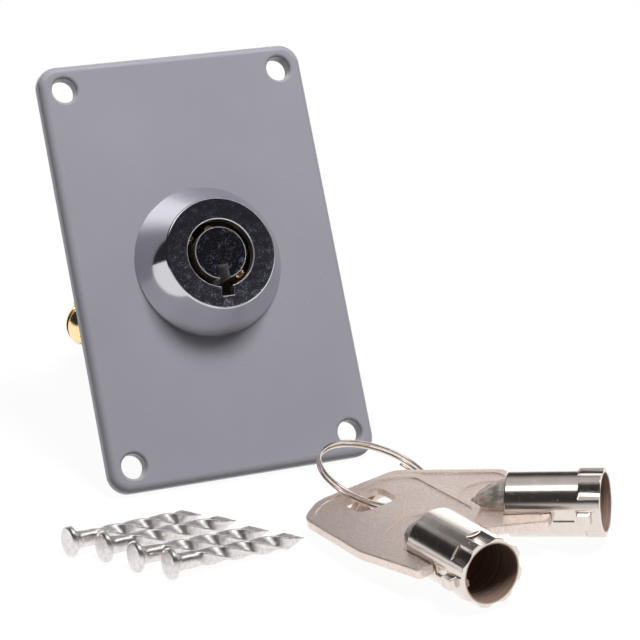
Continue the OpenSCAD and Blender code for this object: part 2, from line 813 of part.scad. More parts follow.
// A nail along Z from its head: rings of points, joined into one skin
module nail() {
    n = 16;
    twist_steps = 20;
    head = nail_head_d / 2;
    neck = nail_neck_d / 2;
    ridge = nail_ridge_d / 2;
    valley = nail_valley_d / 2;
    star = [ridge, (ridge + valley) / 2 - 0.05, valley, (ridge + valley) / 2 - 0.05];
    function ring(r, z) = [for (i = [0:n - 1])
        [r * cos(360 * i / n), r * sin(360 * i / n), z]];
    function fluted(s, z, turn) = [for (i = [0:n - 1]) let (a = 360 * i / n + turn)
        [s * star[i % 4] * cos(a), s * star[i % 4] * sin(a), z]];
    rings = concat([ring(head, 0), ring(head, nail_head_t),
        ring(neck, nail_head_t + nail_flare), ring(neck, nail_neck_len)],
        [for (k = [0:twist_steps]) let (t = k / twist_steps)
            fluted(1, nail_neck_len + 0.4 + t * (nail_shank_len - 0.4), nail_twist * t)],
        [fluted(0.1, nail_len, nail_twist)]);
    last = len(rings) - 1;
    polyhedron(points = [for (r = rings) each r], faces = concat(
        [[for (i = [0:n - 1]) i]],
        [for (k = [0:last - 1], i = [0:n - 1]) let (j = (i + 1) % n)
            each [[k * n + i, (k + 1) * n + i, (k + 1) * n + j],
                [k * n + i, (k + 1) * n + j, k * n + j]]],
        [[for (i = [n - 1:-1:0]) last * n + i]]));
}

module nails() {
    color([0.78, 0.78, 0.8]) for (p = nail_places) translate([p[0], p[1], nail_z])
        rotate([0, 90 + nail_slope, p[2]]) nail();
}

mount_plate();
lock_housing();
lock_washer();
lock_nut();
driver_sleeve();
sleeve_pin();
driver_pins();
pin_springs();
key_spindle();
key_pins();
return_spring();
contact_rotor();
bridge_contact();
rotor_clip();
switch_base();
base_screws();
terminal_left();
terminal_right();
terminal_screw_left();
terminal_screw_right();
key_ring();
front_key_bow();
front_key_barrel();
rear_key_bow();
rear_key_barrel();
nails();
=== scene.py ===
"""Key switch on a small plate, with two tubular keys on a ring and four nails.

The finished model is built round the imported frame. Lengths are in metres. X points to
the plate's right, Y to the rear and Z up, and the origin lies on the floor.
"""

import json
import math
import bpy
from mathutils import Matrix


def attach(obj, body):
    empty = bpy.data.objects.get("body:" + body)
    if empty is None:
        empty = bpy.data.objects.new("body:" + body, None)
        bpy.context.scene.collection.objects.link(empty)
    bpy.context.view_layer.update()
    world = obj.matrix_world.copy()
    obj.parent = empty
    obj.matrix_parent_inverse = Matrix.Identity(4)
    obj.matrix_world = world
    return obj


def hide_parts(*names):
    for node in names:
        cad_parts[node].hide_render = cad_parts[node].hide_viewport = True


bl_info = {
    "name": "Key switch station",
    "version": (1, 0, 0),
    "blender": (4, 5, 0),
    "location": "View3D > Sidebar > Key switch",
    "description": "Builds a key switch on its plate, its keys, ring and nails",
    "category": "Object",
}

import bmesh
import bpy
from bpy.props import FloatProperty, FloatVectorProperty, IntProperty, PointerProperty
from mathutils import Matrix, Vector

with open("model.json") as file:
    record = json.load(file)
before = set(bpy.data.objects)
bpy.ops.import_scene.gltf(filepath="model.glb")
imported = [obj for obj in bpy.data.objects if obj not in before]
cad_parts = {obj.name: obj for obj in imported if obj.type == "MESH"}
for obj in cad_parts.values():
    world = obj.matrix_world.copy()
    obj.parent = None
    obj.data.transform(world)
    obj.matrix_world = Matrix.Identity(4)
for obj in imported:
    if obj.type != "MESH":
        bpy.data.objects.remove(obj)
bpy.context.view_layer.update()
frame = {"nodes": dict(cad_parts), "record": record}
MM = 0.001
MOUNTS = {m["name"]: m for m in frame["record"]["mounts"]}
FACE = Vector(MOUNTS["keyway"]["pos_m"])
OUTWARD = Vector(MOUNTS["keyway"]["axis"]).normalized()

# Lengths here are in millimetres and turns in degrees. A key's place is its heading, pitch and
# roll, then X and Y of its barrel's rear rim.
KEY_PLACES = {"front": (-82, 3.24, 8.19, 11.84, -40.16), "rear": (-38, 7.04, 3.29, 26.6, -32.6)}
RING_CENTRE = (13.72, -15.72, 4.06)
RING_HEADING, RING_LEAN = -38.8, 18.1
# X and Y of each nail's head, then its heading
NAIL_PLACES = ((-31.6, -16.3, 10.4), (-27.9, -19.7, 9.6), (-25.0, -24.3, 8.9), (-21.5, -28.1, 8.5))
# Half width of the housing's notch, and how far it reaches below the lock's axis
NOTCH_HALF, NOTCH_REACH = 0.88, 6.3
# Depths of the seven cuts round a key's open end, in steps of CUT_STEP
KEY_CUTS, CUT_STEP = (0, 1, 3, 2, 3, 3, 2), 0.3
# Where the two screws of the switch base enter the housing, round the lock's axis
SCREW_TURNS = (60, 240)
# Colours of the painted highlight on the lock's rims, and of the lock's unpolished inside,
# darkened as painted shade
RIM_HIGHLIGHT = (0.95, 0.94, 0.96)
SHADED_INSIDE = (0.13, 0.115, 0.105)


def mm(*values):
    """Lengths in millimetres as metres."""
    return tuple(value * MM for value in values)


def length(name, text, value):
    return FloatProperty(name=name, description=text, default=value * MM, unit="LENGTH",
                         precision=5)


def angle(name, text, degrees):
    return FloatProperty(name=name, description=text, default=math.radians(degrees),
                         subtype="ANGLE", unit="ROTATION")


def colour(name, text, rgb):
    return FloatVectorProperty(name=name, description=text, default=rgb, size=3,
                               subtype="COLOR", min=0, max=1)


# Settings


class PlateSizes(bpy.types.PropertyGroup):
    width: length("Width", "Width of the plate", 40.6)
    height: length("Height", "Height of the plate", 62.8)
    thickness: length("Thickness", "Thickness of the plate", 2.4)
    corner: length("Corner radius", "Radius of the four corners", 3.0)
    edge: length("Edge rounding", "Rounding along the front edge", 1.2)
    hole: length("Nail hole radius", "Radius of the four nail holes", 1.8)
    inset: length("Nail hole inset", "Nail holes' distance from the edges", 3.7)
    tint: colour("Plastic", "Colour of the moulded plate", (0.272, 0.266, 0.302))


class LockSizes(bpy.types.PropertyGroup):
    body: length("Body radius", "Radius over the thread's crests", 9.5)
    flat: length("Flat distance", "Distance of each flat from the axis", 8.5)
    body_length: length("Body length", "Length behind the plate's back", 24.0)
    pitch: length("Thread pitch", "Distance between crests", 1.2)
    depth: length("Thread depth", "Depth of the thread", 0.5)
    base: length("Bezel base radius", "Radius of the bezel at the plate", 11.1)
    face: length("Bezel face radius", "Radius of the bezel at its face", 8.2)
    rise: length("Bezel height", "Height of the bezel over the plate", 6.2)
    lip: length("Face thickness", "Thickness of the face round the keyway", 1.8)
    mouth: length("Keyway radius", "Radius of the keyway", 4.95)
    bore: length("Bore radius", "Radius of the housing's bore", 6.7)
    chrome: colour("Chrome", "Colour of the polished housing", (0.55, 0.55, 0.58))


class KeySizes(bpy.types.PropertyGroup):
    barrel: length("Barrel radius", "Outside radius of a key's barrel", 4.7)
    bore: length("Barrel bore radius", "Inside radius of a key's barrel", 3.92)
    barrel_length: length("Barrel length", "Length of a key's barrel", 13.1)
    bow_thickness: length("Bow thickness", "Thickness of a key's bow", 1.4)
    bow_length: length("Bow length", "Length of the bow behind the barrel", 22.1)
    bow_width: length("Bow width", "Width of the bow", 18.7)
    rim: length("Bow rim", "Width of the rim round the sunk panel", 1.1)
    satin: colour("Satin nickel", "Colour of the bows", (0.98, 0.845, 0.775))
    polish: colour("Polished nickel", "Colour of the barrels", (0.74, 0.67, 0.62))


class LooseSizes(bpy.types.PropertyGroup):
    ring: length("Ring radius", "Radius of the key ring", 8.24)
    wire: length("Ring wire", "Thickness of the ring's wire", 0.5)
    turns: FloatProperty(name="Ring turns", description="Turns of the ring's wire", default=2.25)
    nail: length("Nail length", "Length of a nail", 21.0)
    nail_head: length("Nail head", "Diameter of a nail's head", 4.3)
    ridges: IntProperty(name="Nail ridges", description="Ridges round a shank", default=4)
    twist: angle("Nail twist", "Turn of the ridges along the shank", 320)
    zinc: colour("Zinc", "Colour of the nails' coating", (0.72, 0.69, 0.68))


class StudioSettings(bpy.types.PropertyGroup):
    lens: FloatProperty(name="Lens", description="Focal length on a 36 mm sensor",
                        default=145.33, unit="CAMERA")
    eye: FloatVectorProperty(name="Eye", description="Place of the camera", unit="LENGTH",
                             default=(-0.1215, -0.3210, 0.1482), precision=4)
    aim: FloatVectorProperty(name="Aim", description="Direction of view", subtype="DIRECTION",
                             default=(0.3609, 0.8682, -0.3405))
    sky: FloatProperty(name="Ambient", description="Strength of the even light", default=0.05)
    key: FloatProperty(name="Key lamp", description="Power of the overhead lamp in watts",
                       default=5.3, unit="POWER")


SETTINGS = {"plate": PlateSizes, "lock": LockSizes, "keys": KeySizes, "loose": LooseSizes,
            "studio": StudioSettings}


def settings(group):
    """The scene's values of one of the property groups."""
    return getattr(bpy.context.scene, "station_" + group)


# Places


def lock_place():
    """Matrix of the lock's frame: Z out of the plate's front, the origin on its back."""
    across = Vector((1, 0, 0))
    up = OUTWARD.cross(across)
    start = FACE - OUTWARD * (settings("plate").thickness + settings("lock").rise)
    turn = Matrix((across, up, OUTWARD)).transposed().to_4x4()
    return Matrix.Translation(start) @ turn


def turned(degrees, axis):
    return Matrix.Rotation(math.radians(degrees), 4, axis)


def pin_turn(i):
    """Turn of the lock's pin i, and of its cut in a key, round the axis."""
    return turned(-90 + 45 * (i + 1), "Z")


def key_place(which):
    """Matrix of a key's frame: X to its open end, the origin at the barrel's rear rim."""
    heading, pitch, roll, x, y = KEY_PLACES[which]
    rise = settings("keys").barrel * math.cos(math.radians(pitch))
    return (Matrix.Translation((*mm(x, y), rise))
            @ turned(heading, "Z") @ turned(-pitch, "Y") @ turned(roll, "X"))


def ring_place():
    """Matrix of the ring's frame: Z along its axis, the origin at its centre."""
    return (Matrix.Translation(mm(*RING_CENTRE))
            @ turned(RING_HEADING, "Z") @ turned(RING_LEAN, "Y"))


# Meshes


def link(name, data):
    obj = bpy.data.objects.new(name, data)
    bpy.context.scene.collection.objects.link(obj)
    return obj


def from_bmesh(name, bm, outward=True):
    """An object with a bmesh's faces, pointed outwards unless they are to stay as they are."""
    if outward:
        bmesh.ops.recalc_face_normals(bm, faces=bm.faces[:])
    mesh = bpy.data.meshes.new(name)
    bm.to_mesh(mesh)
    bm.free()
    return link(name, mesh)


def skin(name, loops, closed_along=False):
    """Closed surface over loops of equal length; a loop of one point is a pole."""
    bm = bmesh.new()
    rows = [[bm.verts.new(p) for p in loop] for loop in loops]
    pairs = list(zip(rows, rows[1:]))
    if closed_along:
        pairs.append((rows[-1], rows[0]))
    for low, high in pairs:
        count = max(len(low), len(high))
        for i in range(count):
            j = (i + 1) % count
            corners = [low[i % len(low)], low[j % len(low)], high[j % len(high)],
                       high[i % len(high)]]
            face = [v for n, v in enumerate(corners) if v not in corners[:n]]
            if len(face) > 2:
                bm.faces.new(face)
    if not closed_along:
        for row in (rows[0], rows[-1]):
            if len(row) > 2:
                bm.faces.new(row)
    return from_bmesh(name, bm)


def round_loop(radii, z, turn=0.0):
    """Points round Z, one for each radius; radii and height are in millimetres."""
    steps = len(radii)
    return [(r * MM * math.cos(2 * math.pi * i / steps + turn),
             r * MM * math.sin(2 * math.pi * i / steps + turn), z * MM)
            for i, r in enumerate(radii)]


def lathe(name, profile, steps, closed=False):
    """Turns (radius, height) points in millimetres round Z."""
    loops = [round_loop([r] * (1 if r < 1e-6 else steps), z) for r, z in profile]
    return skin(name, loops, closed)


def block(name, low, high):
    """Box between two corners in millimetres."""
    (x0, y0, z0), (x1, y1, z1) = low, high
    return prism(name, ((x0, y0), (x1, y0), (x1, y1), (x0, y1)), z0, z1)


def prism(name, points, z0, z1, tip=1.0):
    """Prism over an outline in millimetres, tapered towards its top."""
    return skin(name, [[mm(x * scale, y * scale, z) for x, y in points]
                       for z, scale in ((z0, 1.0), (z1, tip))])


def place(obj, matrix):
    """Moves an object's mesh and leaves the object at the origin."""
    obj.data.transform(matrix)
    return obj


def evaluated(obj):
    """Replaces an object's mesh with its modifiers' result and removes them."""
    bpy.context.view_layer.update()
    graph = bpy.context.evaluated_depsgraph_get()
    mesh = bpy.data.meshes.new_from_object(obj.evaluated_get(graph))
    obj.modifiers.clear()
    if obj.type != "MESH":
        swap = link(obj.name + "_mesh", mesh)
        name = obj.name
        bpy.data.objects.remove(obj)
        swap.name = name
        return swap
    obj.data = mesh
    return obj


def join(name, objects):
    """One object from several, which are used up."""
    bm = bmesh.new()
    for obj in objects:
        bm.from_mesh(obj.data)
        bpy.data.objects.remove(obj)
    return from_bmesh(name, bm, outward=False)


def carve(obj, cutters, operation="DIFFERENCE"):
    """Cuts or joins other solids, which are used up."""
    for cutter in cutters:
        step = obj.modifiers.new("carve", "BOOLEAN")
        step.operation = operation
        step.solver = "EXACT"
        step.object = cutter
    evaluated(obj)
    for cutter in cutters:
        bpy.data.objects.remove(cutter)
    return obj


def clean(obj, merge=2e-7):
    """Merges points closer than a distance in metres and drops faces without area."""
    bm = bmesh.new()
    bm.from_mesh(obj.data)
    bmesh.ops.remove_doubles(bm, verts=bm.verts[:], dist=merge)
    bmesh.ops.dissolve_degenerate(bm, edges=bm.edges[:], dist=merge)
    bm.to_mesh(obj.data)
    bm.free()
    return obj


def smooth(obj, bevel=0.0, segments=2, sharp=35):
    """Rounds an object's sharp edges by a width in millimetres and smooths its shading."""
    if bevel:
        step = obj.modifiers.new("edges", "BEVEL")
        step.width = bevel * MM
        step.segments = segments
        step.limit_method = "ANGLE"
        step.angle_limit = math.radians(sharp)
        step.use_clamp_overlap = True
        evaluated(obj)
    for polygon in obj.data.polygons:
        polygon.use_smooth = True
    obj.data.set_sharp_from_angle(angle=math.radians(sharp))
    weigh = obj.modifiers.new("normals", "WEIGHTED_NORMAL")
    weigh.keep_sharp = True
    return evaluated(obj)


def from_node(node, bevel, segments=2):
    """A smooth copy of a frame node, with its sharp edges slightly rounded."""
    obj = link(node + "_finished", frame["nodes"][node].data.copy())
    obj.data.materials.clear()
    bm = bmesh.new()
    bm.from_mesh(obj.data)
    bmesh.ops.remove_doubles(bm, verts=bm.verts[:], dist=1e-6)
    bmesh.ops.dissolve_limit(bm, angle_limit=math.radians(0.6), verts=bm.verts[:],
                             edges=bm.edges[:])
    bm.to_mesh(obj.data)
    bm.free()
    return smooth(obj, bevel, segments)


def finish(obj, material, body, slot, *nodes):
    """Gives a piece its material and body, and hides the nodes it stands for. The slot is not
    used.
    """
    obj.data.materials.clear()
    obj.data.materials.append(material)
    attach(obj, body)
    if nodes:
        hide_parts(*nodes)


# Nodes


def new_node(tree, kind, choices=None, values=None):
    """Adds a node: its settings are made first, then its sockets' values and links."""
    node = tree.nodes.new(kind)
    for name, choice in (choices or {}).items():
        setattr(node, name, choice)
    for name, value in (values or {}).items():
        if isinstance(value, bpy.types.NodeSocket):
            tree.links.new(value, node.inputs[name])
        else:
            node.inputs[name].default_value = value
    return node


class Signal:
    """A shader socket with Python's arithmetic."""

    def __init__(self, shader, socket):
        self.shader = shader
        self.socket = socket

    def maths(self, operation, *values):
        return self.shader.add("ShaderNodeMath", {"operation": operation}, dict(enumerate(values)))

    def __add__(self, other):
        return self.maths("ADD", self, other)

    def __radd__(self, other):
        return self.maths("ADD", other, self)

    def __sub__(self, other):
        return self.maths("SUBTRACT", self, other)

    def __rsub__(self, other):
        return self.maths("SUBTRACT", other, self)

    def __mul__(self, other):
        return self.maths("MULTIPLY", self, other)

    def __rmul__(self, other):
        return self.maths("MULTIPLY", other, self)

    def __pow__(self, other):
        return self.maths("POWER", self, other)

    def larger(self, other):
        return self.maths("MAXIMUM", self, other)

    def angle(self, other):
        """Angle in degrees of this height over another length."""
        return self.maths("ARCTAN2", self, other) * (180 / math.pi)

    def step(self, low, high):
        """0 below low, 1 above high, smooth between them."""
        return self.shader.add("ShaderNodeMapRange", {"interpolation_type": "SMOOTHSTEP"},
                               {"Value": self, "From Min": low, "From Max": high})

    def band(self, start, full, fade, end):
        """0 up to start, 1 from full to fade, 0 again after end."""
        return self.step(start, full) * (1 - self.step(fade, end))


class Shader:
    """The nodes of a material or of the world."""

    def __init__(self, owner, end):
        owner.use_nodes = True
        self.owner = owner
        self.tree = owner.node_tree
        self.tree.nodes.clear()
        self.end = end

    def add(self, kind, choices=None, values=None, output=0):
        """Adds a node and gives one of its outputs as a signal."""
        values = {name: value.socket if isinstance(value, Signal) else value
                  for name, value in (values or {}).items()}
        return Signal(self, new_node(self.tree, kind, choices, values).outputs[output])

    def ray(self, kind):
        return self.add("ShaderNodeLightPath", output=kind)

    def surface(self, shader):
        """Ends the tree in a shader and gives its owner."""
        new_node(self.tree, self.end, {}, {"Surface": shader.socket})
        return self.owner


class Finish(Shader):
    """A procedural material, most often round one Principled shader."""

    def __init__(self, name):
        super().__init__(bpy.data.materials.new(name), "ShaderNodeOutputMaterial")

    def spot(self, matrix=None):
        """Object coordinates, in metres, measured in a frame if a matrix is given."""
        here = self.add("ShaderNodeTexCoord", output="Object")
        if matrix is None:
            return here
        return self.add("ShaderNodeMapping", {"vector_type": "TEXTURE"},
                        {"Vector": here, "Location": matrix.to_translation(),
                         "Rotation": matrix.to_euler()})

    def axes(self, vector):
        first = self.add("ShaderNodeSeparateXYZ", {}, {0: vector})
        return [Signal(self, socket) for socket in first.socket.node.outputs]

    def join(self, x, y, z):
        return self.add("ShaderNodeCombineXYZ", {}, {0: x, 1: y, 2: z})

    def noise(self, where, size, detail, rough=0.55, distortion=0.0):
        """Noise whose grains are about size millimetres across."""
        return self.add("ShaderNodeTexNoise", {}, {
            "Vector": where, "Scale": 1 / (size * MM), "Detail": detail,
            "Roughness": rough, "Distortion": distortion})

    def blend(self, amount, low, high):
        """A colour between two, which are signals or plain colours."""
        return self.add("ShaderNodeMix", {"data_type": "RGBA"},
                        {"Factor": amount, 6: opaque(low), 7: opaque(high)}, output=2)

    def build(self, base, rough, metal=0.0, height=None, depth=0.01):
        """Ends the material: height is a bump of the given depth in millimetres."""
        values = {"Base Color": base, "Roughness": rough, "Metallic": metal}
        if height is not None:
            values["Normal"] = self.add("ShaderNodeBump", {}, {
                "Height": height, "Distance": depth * MM, "Strength": 1.0})
        return self.surface(self.add("ShaderNodeBsdfPrincipled", {}, values, output="BSDF"))


def opaque(value):
    """A plain colour with its alpha; a signal stays as it is."""
    return value if isinstance(value, Signal) else (*value, 1)


def off_axis(a, b):
    """Distance from an axis, from the two coordinates across it."""
    return (a * a + b * b) ** 0.5


# Materials


def shade(rgb, factor):
    """A colour made darker or lighter."""
    return tuple(min(1.0, c * factor) for c in rgb)


def plate_plastic():
    """Grey moulded plastic with faint clouds, a few scuffs and dust."""
    f = Finish("moulded_plastic")
    here = f.spot()
    cloud = f.noise(here, 22, 3)
    grain = f.noise(here, 0.35, 2)
    scuff = f.noise(f.spot(Matrix.Rotation(0.5, 4, "X")), 3.0, 5, 0.7, 0.6).step(0.62, 0.78)
    dust = f.noise(here, 0.55, 1).step(0.71, 0.76)
    tint = tuple(settings("plate").tint)
    base = f.blend(cloud, shade(tint, 0.9), shade(tint, 1.1))
    base = f.blend(scuff * 0.16 + dust * 0.22, base, shade(tint, 1.5))
    return f.build(base, 0.28 + cloud * 0.04 + scuff * 0.1, height=grain, depth=0.006)


def lock_face(f):
    """What housing and post share: the lock's axes, the distance from its axis, and dust specks,
    which grow denser towards the bottom as a painted sheen.
    """
    lock = f.spot(lock_place())
    x, y, z = f.axes(lock)
    speck = f.noise(lock, 0.2, 5, 0.8)
    # Dust specks, denser towards the bottom: that gradient is a painted sheen.
    bright = (speck + f.noise(lock, 1.1, 3) * 0.3 - y * 3).step(0.68, 0.86)
    return (x, y, z), off_axis(x, y), speck, bright


def lock_chrome():
    """Polished chrome whose face is finely speckled and painted near black: a painted reflection
    of a dark room.
    """
    f = Finish("lock_chrome")
    s = settings("lock")
    (x, y, z), radius, speck, bright = lock_face(f)
    top = (settings("plate").thickness + s.rise) / MM
    mouth, bore = s.mouth / MM, s.bore / MM
    front = z.step(*mm(top - 0.04, top - 0.015))
    # The front face is painted near black: a painted reflection of a dark room on the chrome.
    base = f.blend(front, tuple(s.chrome), f.blend(bright, (0.11, 0.11, 0.148), (0.85, 0.88, 1.0)))
    below_mouth = 1 - radius.step(*mm(mouth - 0.02, mouth + 0.02))
    in_bore = (1 - front) * (1 - radius.step(*mm(bore - 0.3, bore - 0.1)))
    inside = (below_mouth + in_bore).step(0.4, 0.6) * (1 - z.step(*mm(top - 0.22, top - 0.18)))
    # The inside of the keyway and bore is darkened: painted shade over unpolished metal.
    base = f.blend(inside, base, SHADED_INSIDE)
    notch_end = y.band(*mm(-NOTCH_REACH - 0.14, -NOTCH_REACH - 0.12, -NOTCH_REACH,
                           -NOTCH_REACH + 0.02))
    notch_end = notch_end * x.band(*mm(-NOTCH_HALF - 0.05, -NOTCH_HALF, NOTCH_HALF,
                                       NOTCH_HALF + 0.05))
    # The rims of the keyway and of the notch's end are painted bright: a painted highlight.
    rim = radius.band(*mm(mouth - 0.05, mouth, mouth + 0.08, mouth + 0.12)) + notch_end
    rim = rim * z.step(*mm(top - 0.24, top - 0.2))
    base = f.blend(rim, base, RIM_HIGHLIGHT)
    mark = f.noise(f.join(radius, z, 0.0), 0.12, 2)
    rough = 0.06 + mark * 0.05 + inside * 0.3 + rim * 0.5
    rough = rough + front * (1 - rim) * (0.24 + bright * 0.25)
    return f.build(base, rough, 1 - inside * 0.8, height=speck * front * (1 - rim) + mark * 0.1,
                   depth=0.004)


def post_black():
    """The housing's speckled face on the post, with a painted highlight at its edge, painted shade
    inside and painted light on the slot's floor.
    """
    f = Finish("post_face")
    (x, y, z), radius, speck, bright = lock_face(f)
    edge, face = 3.69, 8.3
    # The post's rim is painted bright: a painted highlight.
    rim = radius.step(*mm(edge, edge + 0.03)) * z.step(*mm(face, face + 0.04))
    inner = 1 - z.step(*mm(face, face + 0.06))
    base = f.blend(bright, (0.09, 0.09, 0.125), (0.65, 0.68, 0.85))
    base = f.blend(rim, base, RIM_HIGHLIGHT)
    # Below its face the post is darkened: painted shade.
    base = f.blend(inner, base, SHADED_INSIDE)
    scratch = f.noise(f.join(x + y, 0.0, 0.0), 0.2, 2).step(0.35, 0.65)
    tongue = x.band(*mm(-1.2, -1.1, 1.1, 1.2)) * (1 - y.step(-1 * MM, 0))
    # The slot's floor is painted lighter: painted light where it lies in shade, over its own
    # diagonal scratches.
    base = f.blend(inner * tongue, base, f.blend(scratch, (0.42, 0.4, 0.41), (0.8, 0.78, 0.8)))
    rough = 0.26 + bright * 0.25 + rim * 0.25 + inner * 0.2
    return f.build(base, rough, 1 - inner * 0.8, height=speck * (1 - rim), depth=0.004)


def metal_finish(name, rgb, rough, variation=0.1, grain=0.25, depth=0.002):
    """Plain metal with cloudy tone, fine grain and small dark stains."""
    f = Finish(name)
    here = f.spot()
    cloud = f.noise(here, 3.5, 4)
    fine = f.noise(here, grain, 3, 0.6)
    stain = f.noise(here, 1.2, 5, 0.7).step(0.6, 0.8)
    base = f.blend(cloud.step(0.3, 0.7), shade(rgb, 0.85), rgb)
    base = f.blend(stain * 0.35, base, shade(rgb, 0.55))
    return f.build(base, rough + cloud * variation + stain * 0.08, 1.0, height=fine, depth=depth)


def satin_nickel(which):
    """Plated bow: sandy satin with bright dots, streaked a little along the key."""
    f = Finish("satin_nickel_" + which)
    key = f.spot(key_place(which))
    x, y, z = f.axes(key)
    sand = f.noise(key, 0.32, 4, 0.75)
    cloud = f.noise(key, 5.0, 4)
    streak = f.noise(f.join(x * 0.12, y, z), 0.22, 3)
    dots = f.noise(key, 0.3, 2).step(0.7, 0.76)
    stain = f.noise(key, 1.6, 5, 0.7).step(0.62, 0.8)
    tone = tuple(settings("keys").satin)
    base = f.blend(cloud.step(0.25, 0.75), shade(tone, 0.92), shade(tone, 1.06))
    base = f.blend(stain * 0.3, base, shade(tone, 0.7))
    base = f.blend(dots * 0.3, base, (0.9, 0.87, 0.85))
    base = f.blend(sand.step(0.42, 0.58) * 0.6, shade(tone, 0.78), base)
    rough = 0.4 + streak * 0.12 + sand * 0.1
    return f.build(base, rough, 1.0, height=sand + streak * 0.5, depth=0.012)


def bright_nickel(which):
    """Polished barrel with fine turning marks and a few pits."""
    f = Finish("bright_nickel_" + which)
    key = f.spot(key_place(which))
    x, y, z = f.axes(key)
    radius = off_axis(y, z)
    inside = 1 - radius.step(*mm(4.05, 4.2))
    turning = f.noise(f.join(x, radius, 0.0), 0.16, 2)
    along = f.noise(f.join(x * 0.05, y, z), 0.3, 3)
    cloud = f.noise(key, 2.4, 4)
    pit = f.noise(key, 0.35, 2).step(0.7, 0.75)
    tone = tuple(settings("keys").polish)
    base = f.blend(cloud.step(0.3, 0.75), shade(tone, 0.93), tone)
    base = f.blend(pit * 0.35, base, shade(tone, 0.5))
    neck = 1 - x.step(*mm(-0.3, -0.12))
    base = f.blend(inside * (1 - neck), base,
                   f.blend(turning.step(0.3, 0.7), (0.24, 0.16, 0.125), (0.4, 0.28, 0.225)))
    neck_mottle = f.noise(f.join(x * 0.4, y, z), 0.9, 4, 0.7).step(0.4, 0.62)
    # The neck is darker than the barrel, and mottled.
    base = f.blend(neck, base, f.blend(neck_mottle, shade(tone, 0.5), shade(tone, 1.05)))
    rough = 0.13 + cloud * 0.08 + pit * 0.2 + inside * (0.22 + turning * 0.1) + neck * 0.2
    return f.build(base, rough, 1 - inside * (1 - neck) * 0.55,
                   height=turning * (0.25 + inside) + along * 0.3, depth=0.005)


def nail_zinc():
    """Galvanised wire with bright ridges and fine crystals; its valleys are darkened in patches as
    painted shade.
    """
    f = Finish("nail_zinc")
    here = f.spot()
    crystal = f.noise(here, 0.5, 4, 0.65)
    grain = f.noise(here, 0.12, 3)
    valley_shade = f.noise(here, 0.8, 4, 0.7).step(0.55, 0.75)
    low = f.add("ShaderNodeAttribute", {"attribute_name": "valley"}, output="Fac")
    tone = tuple(settings("loose").zinc)
    base = f.blend(crystal.step(0.35, 0.65), shade(tone, 0.88), shade(tone, 1.12))
    # Darker valleys, in patches: painted shade.
    base = f.blend(low * (0.1 + valley_shade * 0.6), base, (0.2, 0.17, 0.16))
    rough = 0.27 + crystal * 0.12 + low * 0.06
    return f.build(base, rough, 1.0, height=crystal + grain * 0.7, depth=0.006)


def plain_plastic(name, rgb, rough):
    """Moulded plastic with cloudy tone and fine grain."""
    f = Finish(name)
    here = f.spot()
    cloud = f.noise(here, 4, 3)
    fine = f.noise(here, 0.25, 2)
    base = f.blend(cloud.step(0.3, 0.7), shade(rgb, 0.85), shade(rgb, 1.15))
    return f.build(base, rough + cloud * 0.12, height=fine, depth=0.006)


# Pieces


def rounded(points, reaches, steps=6):
    """Outline whose corners are rounded by their reaches."""
    out = []
    for i, b in enumerate(points):
        a, c = Vector(points[i - 1]), Vector(points[(i + 1) % len(points)])
        b = Vector(b)
        p = b + (a - b).normalized() * reaches[i]
        q = b + (c - b).normalized() * reaches[i]
        for k in range(steps + 1):
            t = k / steps
            out.append(tuple((1 - t) ** 2 * p + 2 * t * (1 - t) * b + t * t * q))
    return out


def outline_plate(name, outlines, thickness, edge, steps=3):
    """Flat plate over outlines in millimetres, with rounded edges; inner ones are holes."""
    curve = bpy.data.curves.new(name, "CURVE")
    curve.dimensions = "2D"
    curve.fill_mode = "BOTH"
    curve.extrude = (thickness / 2 - edge) * MM
    curve.bevel_depth = edge * MM
    curve.bevel_resolution = steps
    curve.offset = -edge * MM
    for points in outlines:
        spline = curve.splines.new("POLY")
        spline.points.add(len(points) - 1)
        for point, (x, y) in zip(spline.points, points):
            point.co = (x * MM, y * MM, 0, 1)
        spline.use_cyclic_u = True
    return clean(evaluated(link(name, curve)), 1e-6)


def soft_rim(radius, top, rounding):
    """Profile of a hole's rounded rim in millimetres, from the face down into the wall."""
    turns = [math.radians(a) for a in (0, 22, 45, 68, 90)]
    return [(radius + rounding * (1 - math.sin(a)), top - rounding * (1 - math.cos(a)))
            for a in turns]


def plate_loop(inset, z):
    """The plate's outline, drawn in by an inset, at a height; both are in metres."""
    s = settings("plate")
    steps = 10
    radius = max(s.corner - inset, 0.2 * MM)
    half_w, half_h = s.width / 2 - inset - radius, s.height / 2 - inset - radius
    points = []
    for quarter, (sx, sy) in enumerate(((1, 1), (-1, 1), (-1, -1), (1, -1))):
        for k in range(steps + 1):
            a = math.radians(90 * (quarter + k / steps))
            points.append((sx * half_w + radius * math.cos(a),
                           sy * half_h + radius * math.sin(a), z))
    return points


def make_plate():
    """Plate with a rounded front edge, four soft-rimmed nail holes and the lock's flatted hole."""
    s, lock = settings("plate"), settings("lock")
    t, edge, back_edge = s.thickness, s.edge, 0.18 * MM
    loops = [plate_loop(back_edge, 0), plate_loop(0, back_edge)]
    for k in range(9):
        a = math.radians(90 * k / 8)
        loops.append(plate_loop(edge * (1 - math.cos(a)), t - edge + edge * math.sin(a)))
    plate = skin("mounting_plate", loops)
    r, top, rim = s.hole / MM, t / MM, 0.5
    profile = [(0, -1), (r, -1)] + soft_rim(r, top, rim)[::-1] + [(r + rim, top + 1), (0, top + 1)]
    across, along = s.width / 2 - s.inset, s.height / 2 - s.inset
    cutters = [place(lathe("hole", profile, 48), Matrix.Translation((x * across, y * along, 0)))
               for x in (-1, 1) for y in (-1, 1)]
    room = 0.1
    body, half = lock.body / MM + room, lock.flat / MM + room
    lock_hole = lathe("lock_hole", [(0, -1), (body, -1), (body, 4), (0, 4)], 96)
    carve(lock_hole, [block("flats", (-half, -20, -2), (half, 20, 5))], "INTERSECT")
    cutters.append(lock_hole)
    carve(plate, cutters)
    place(smooth(clean(plate), sharp=30), lock_place())
    finish(plate, plate_plastic(), "station", "grey_plastic", "mount_plate")


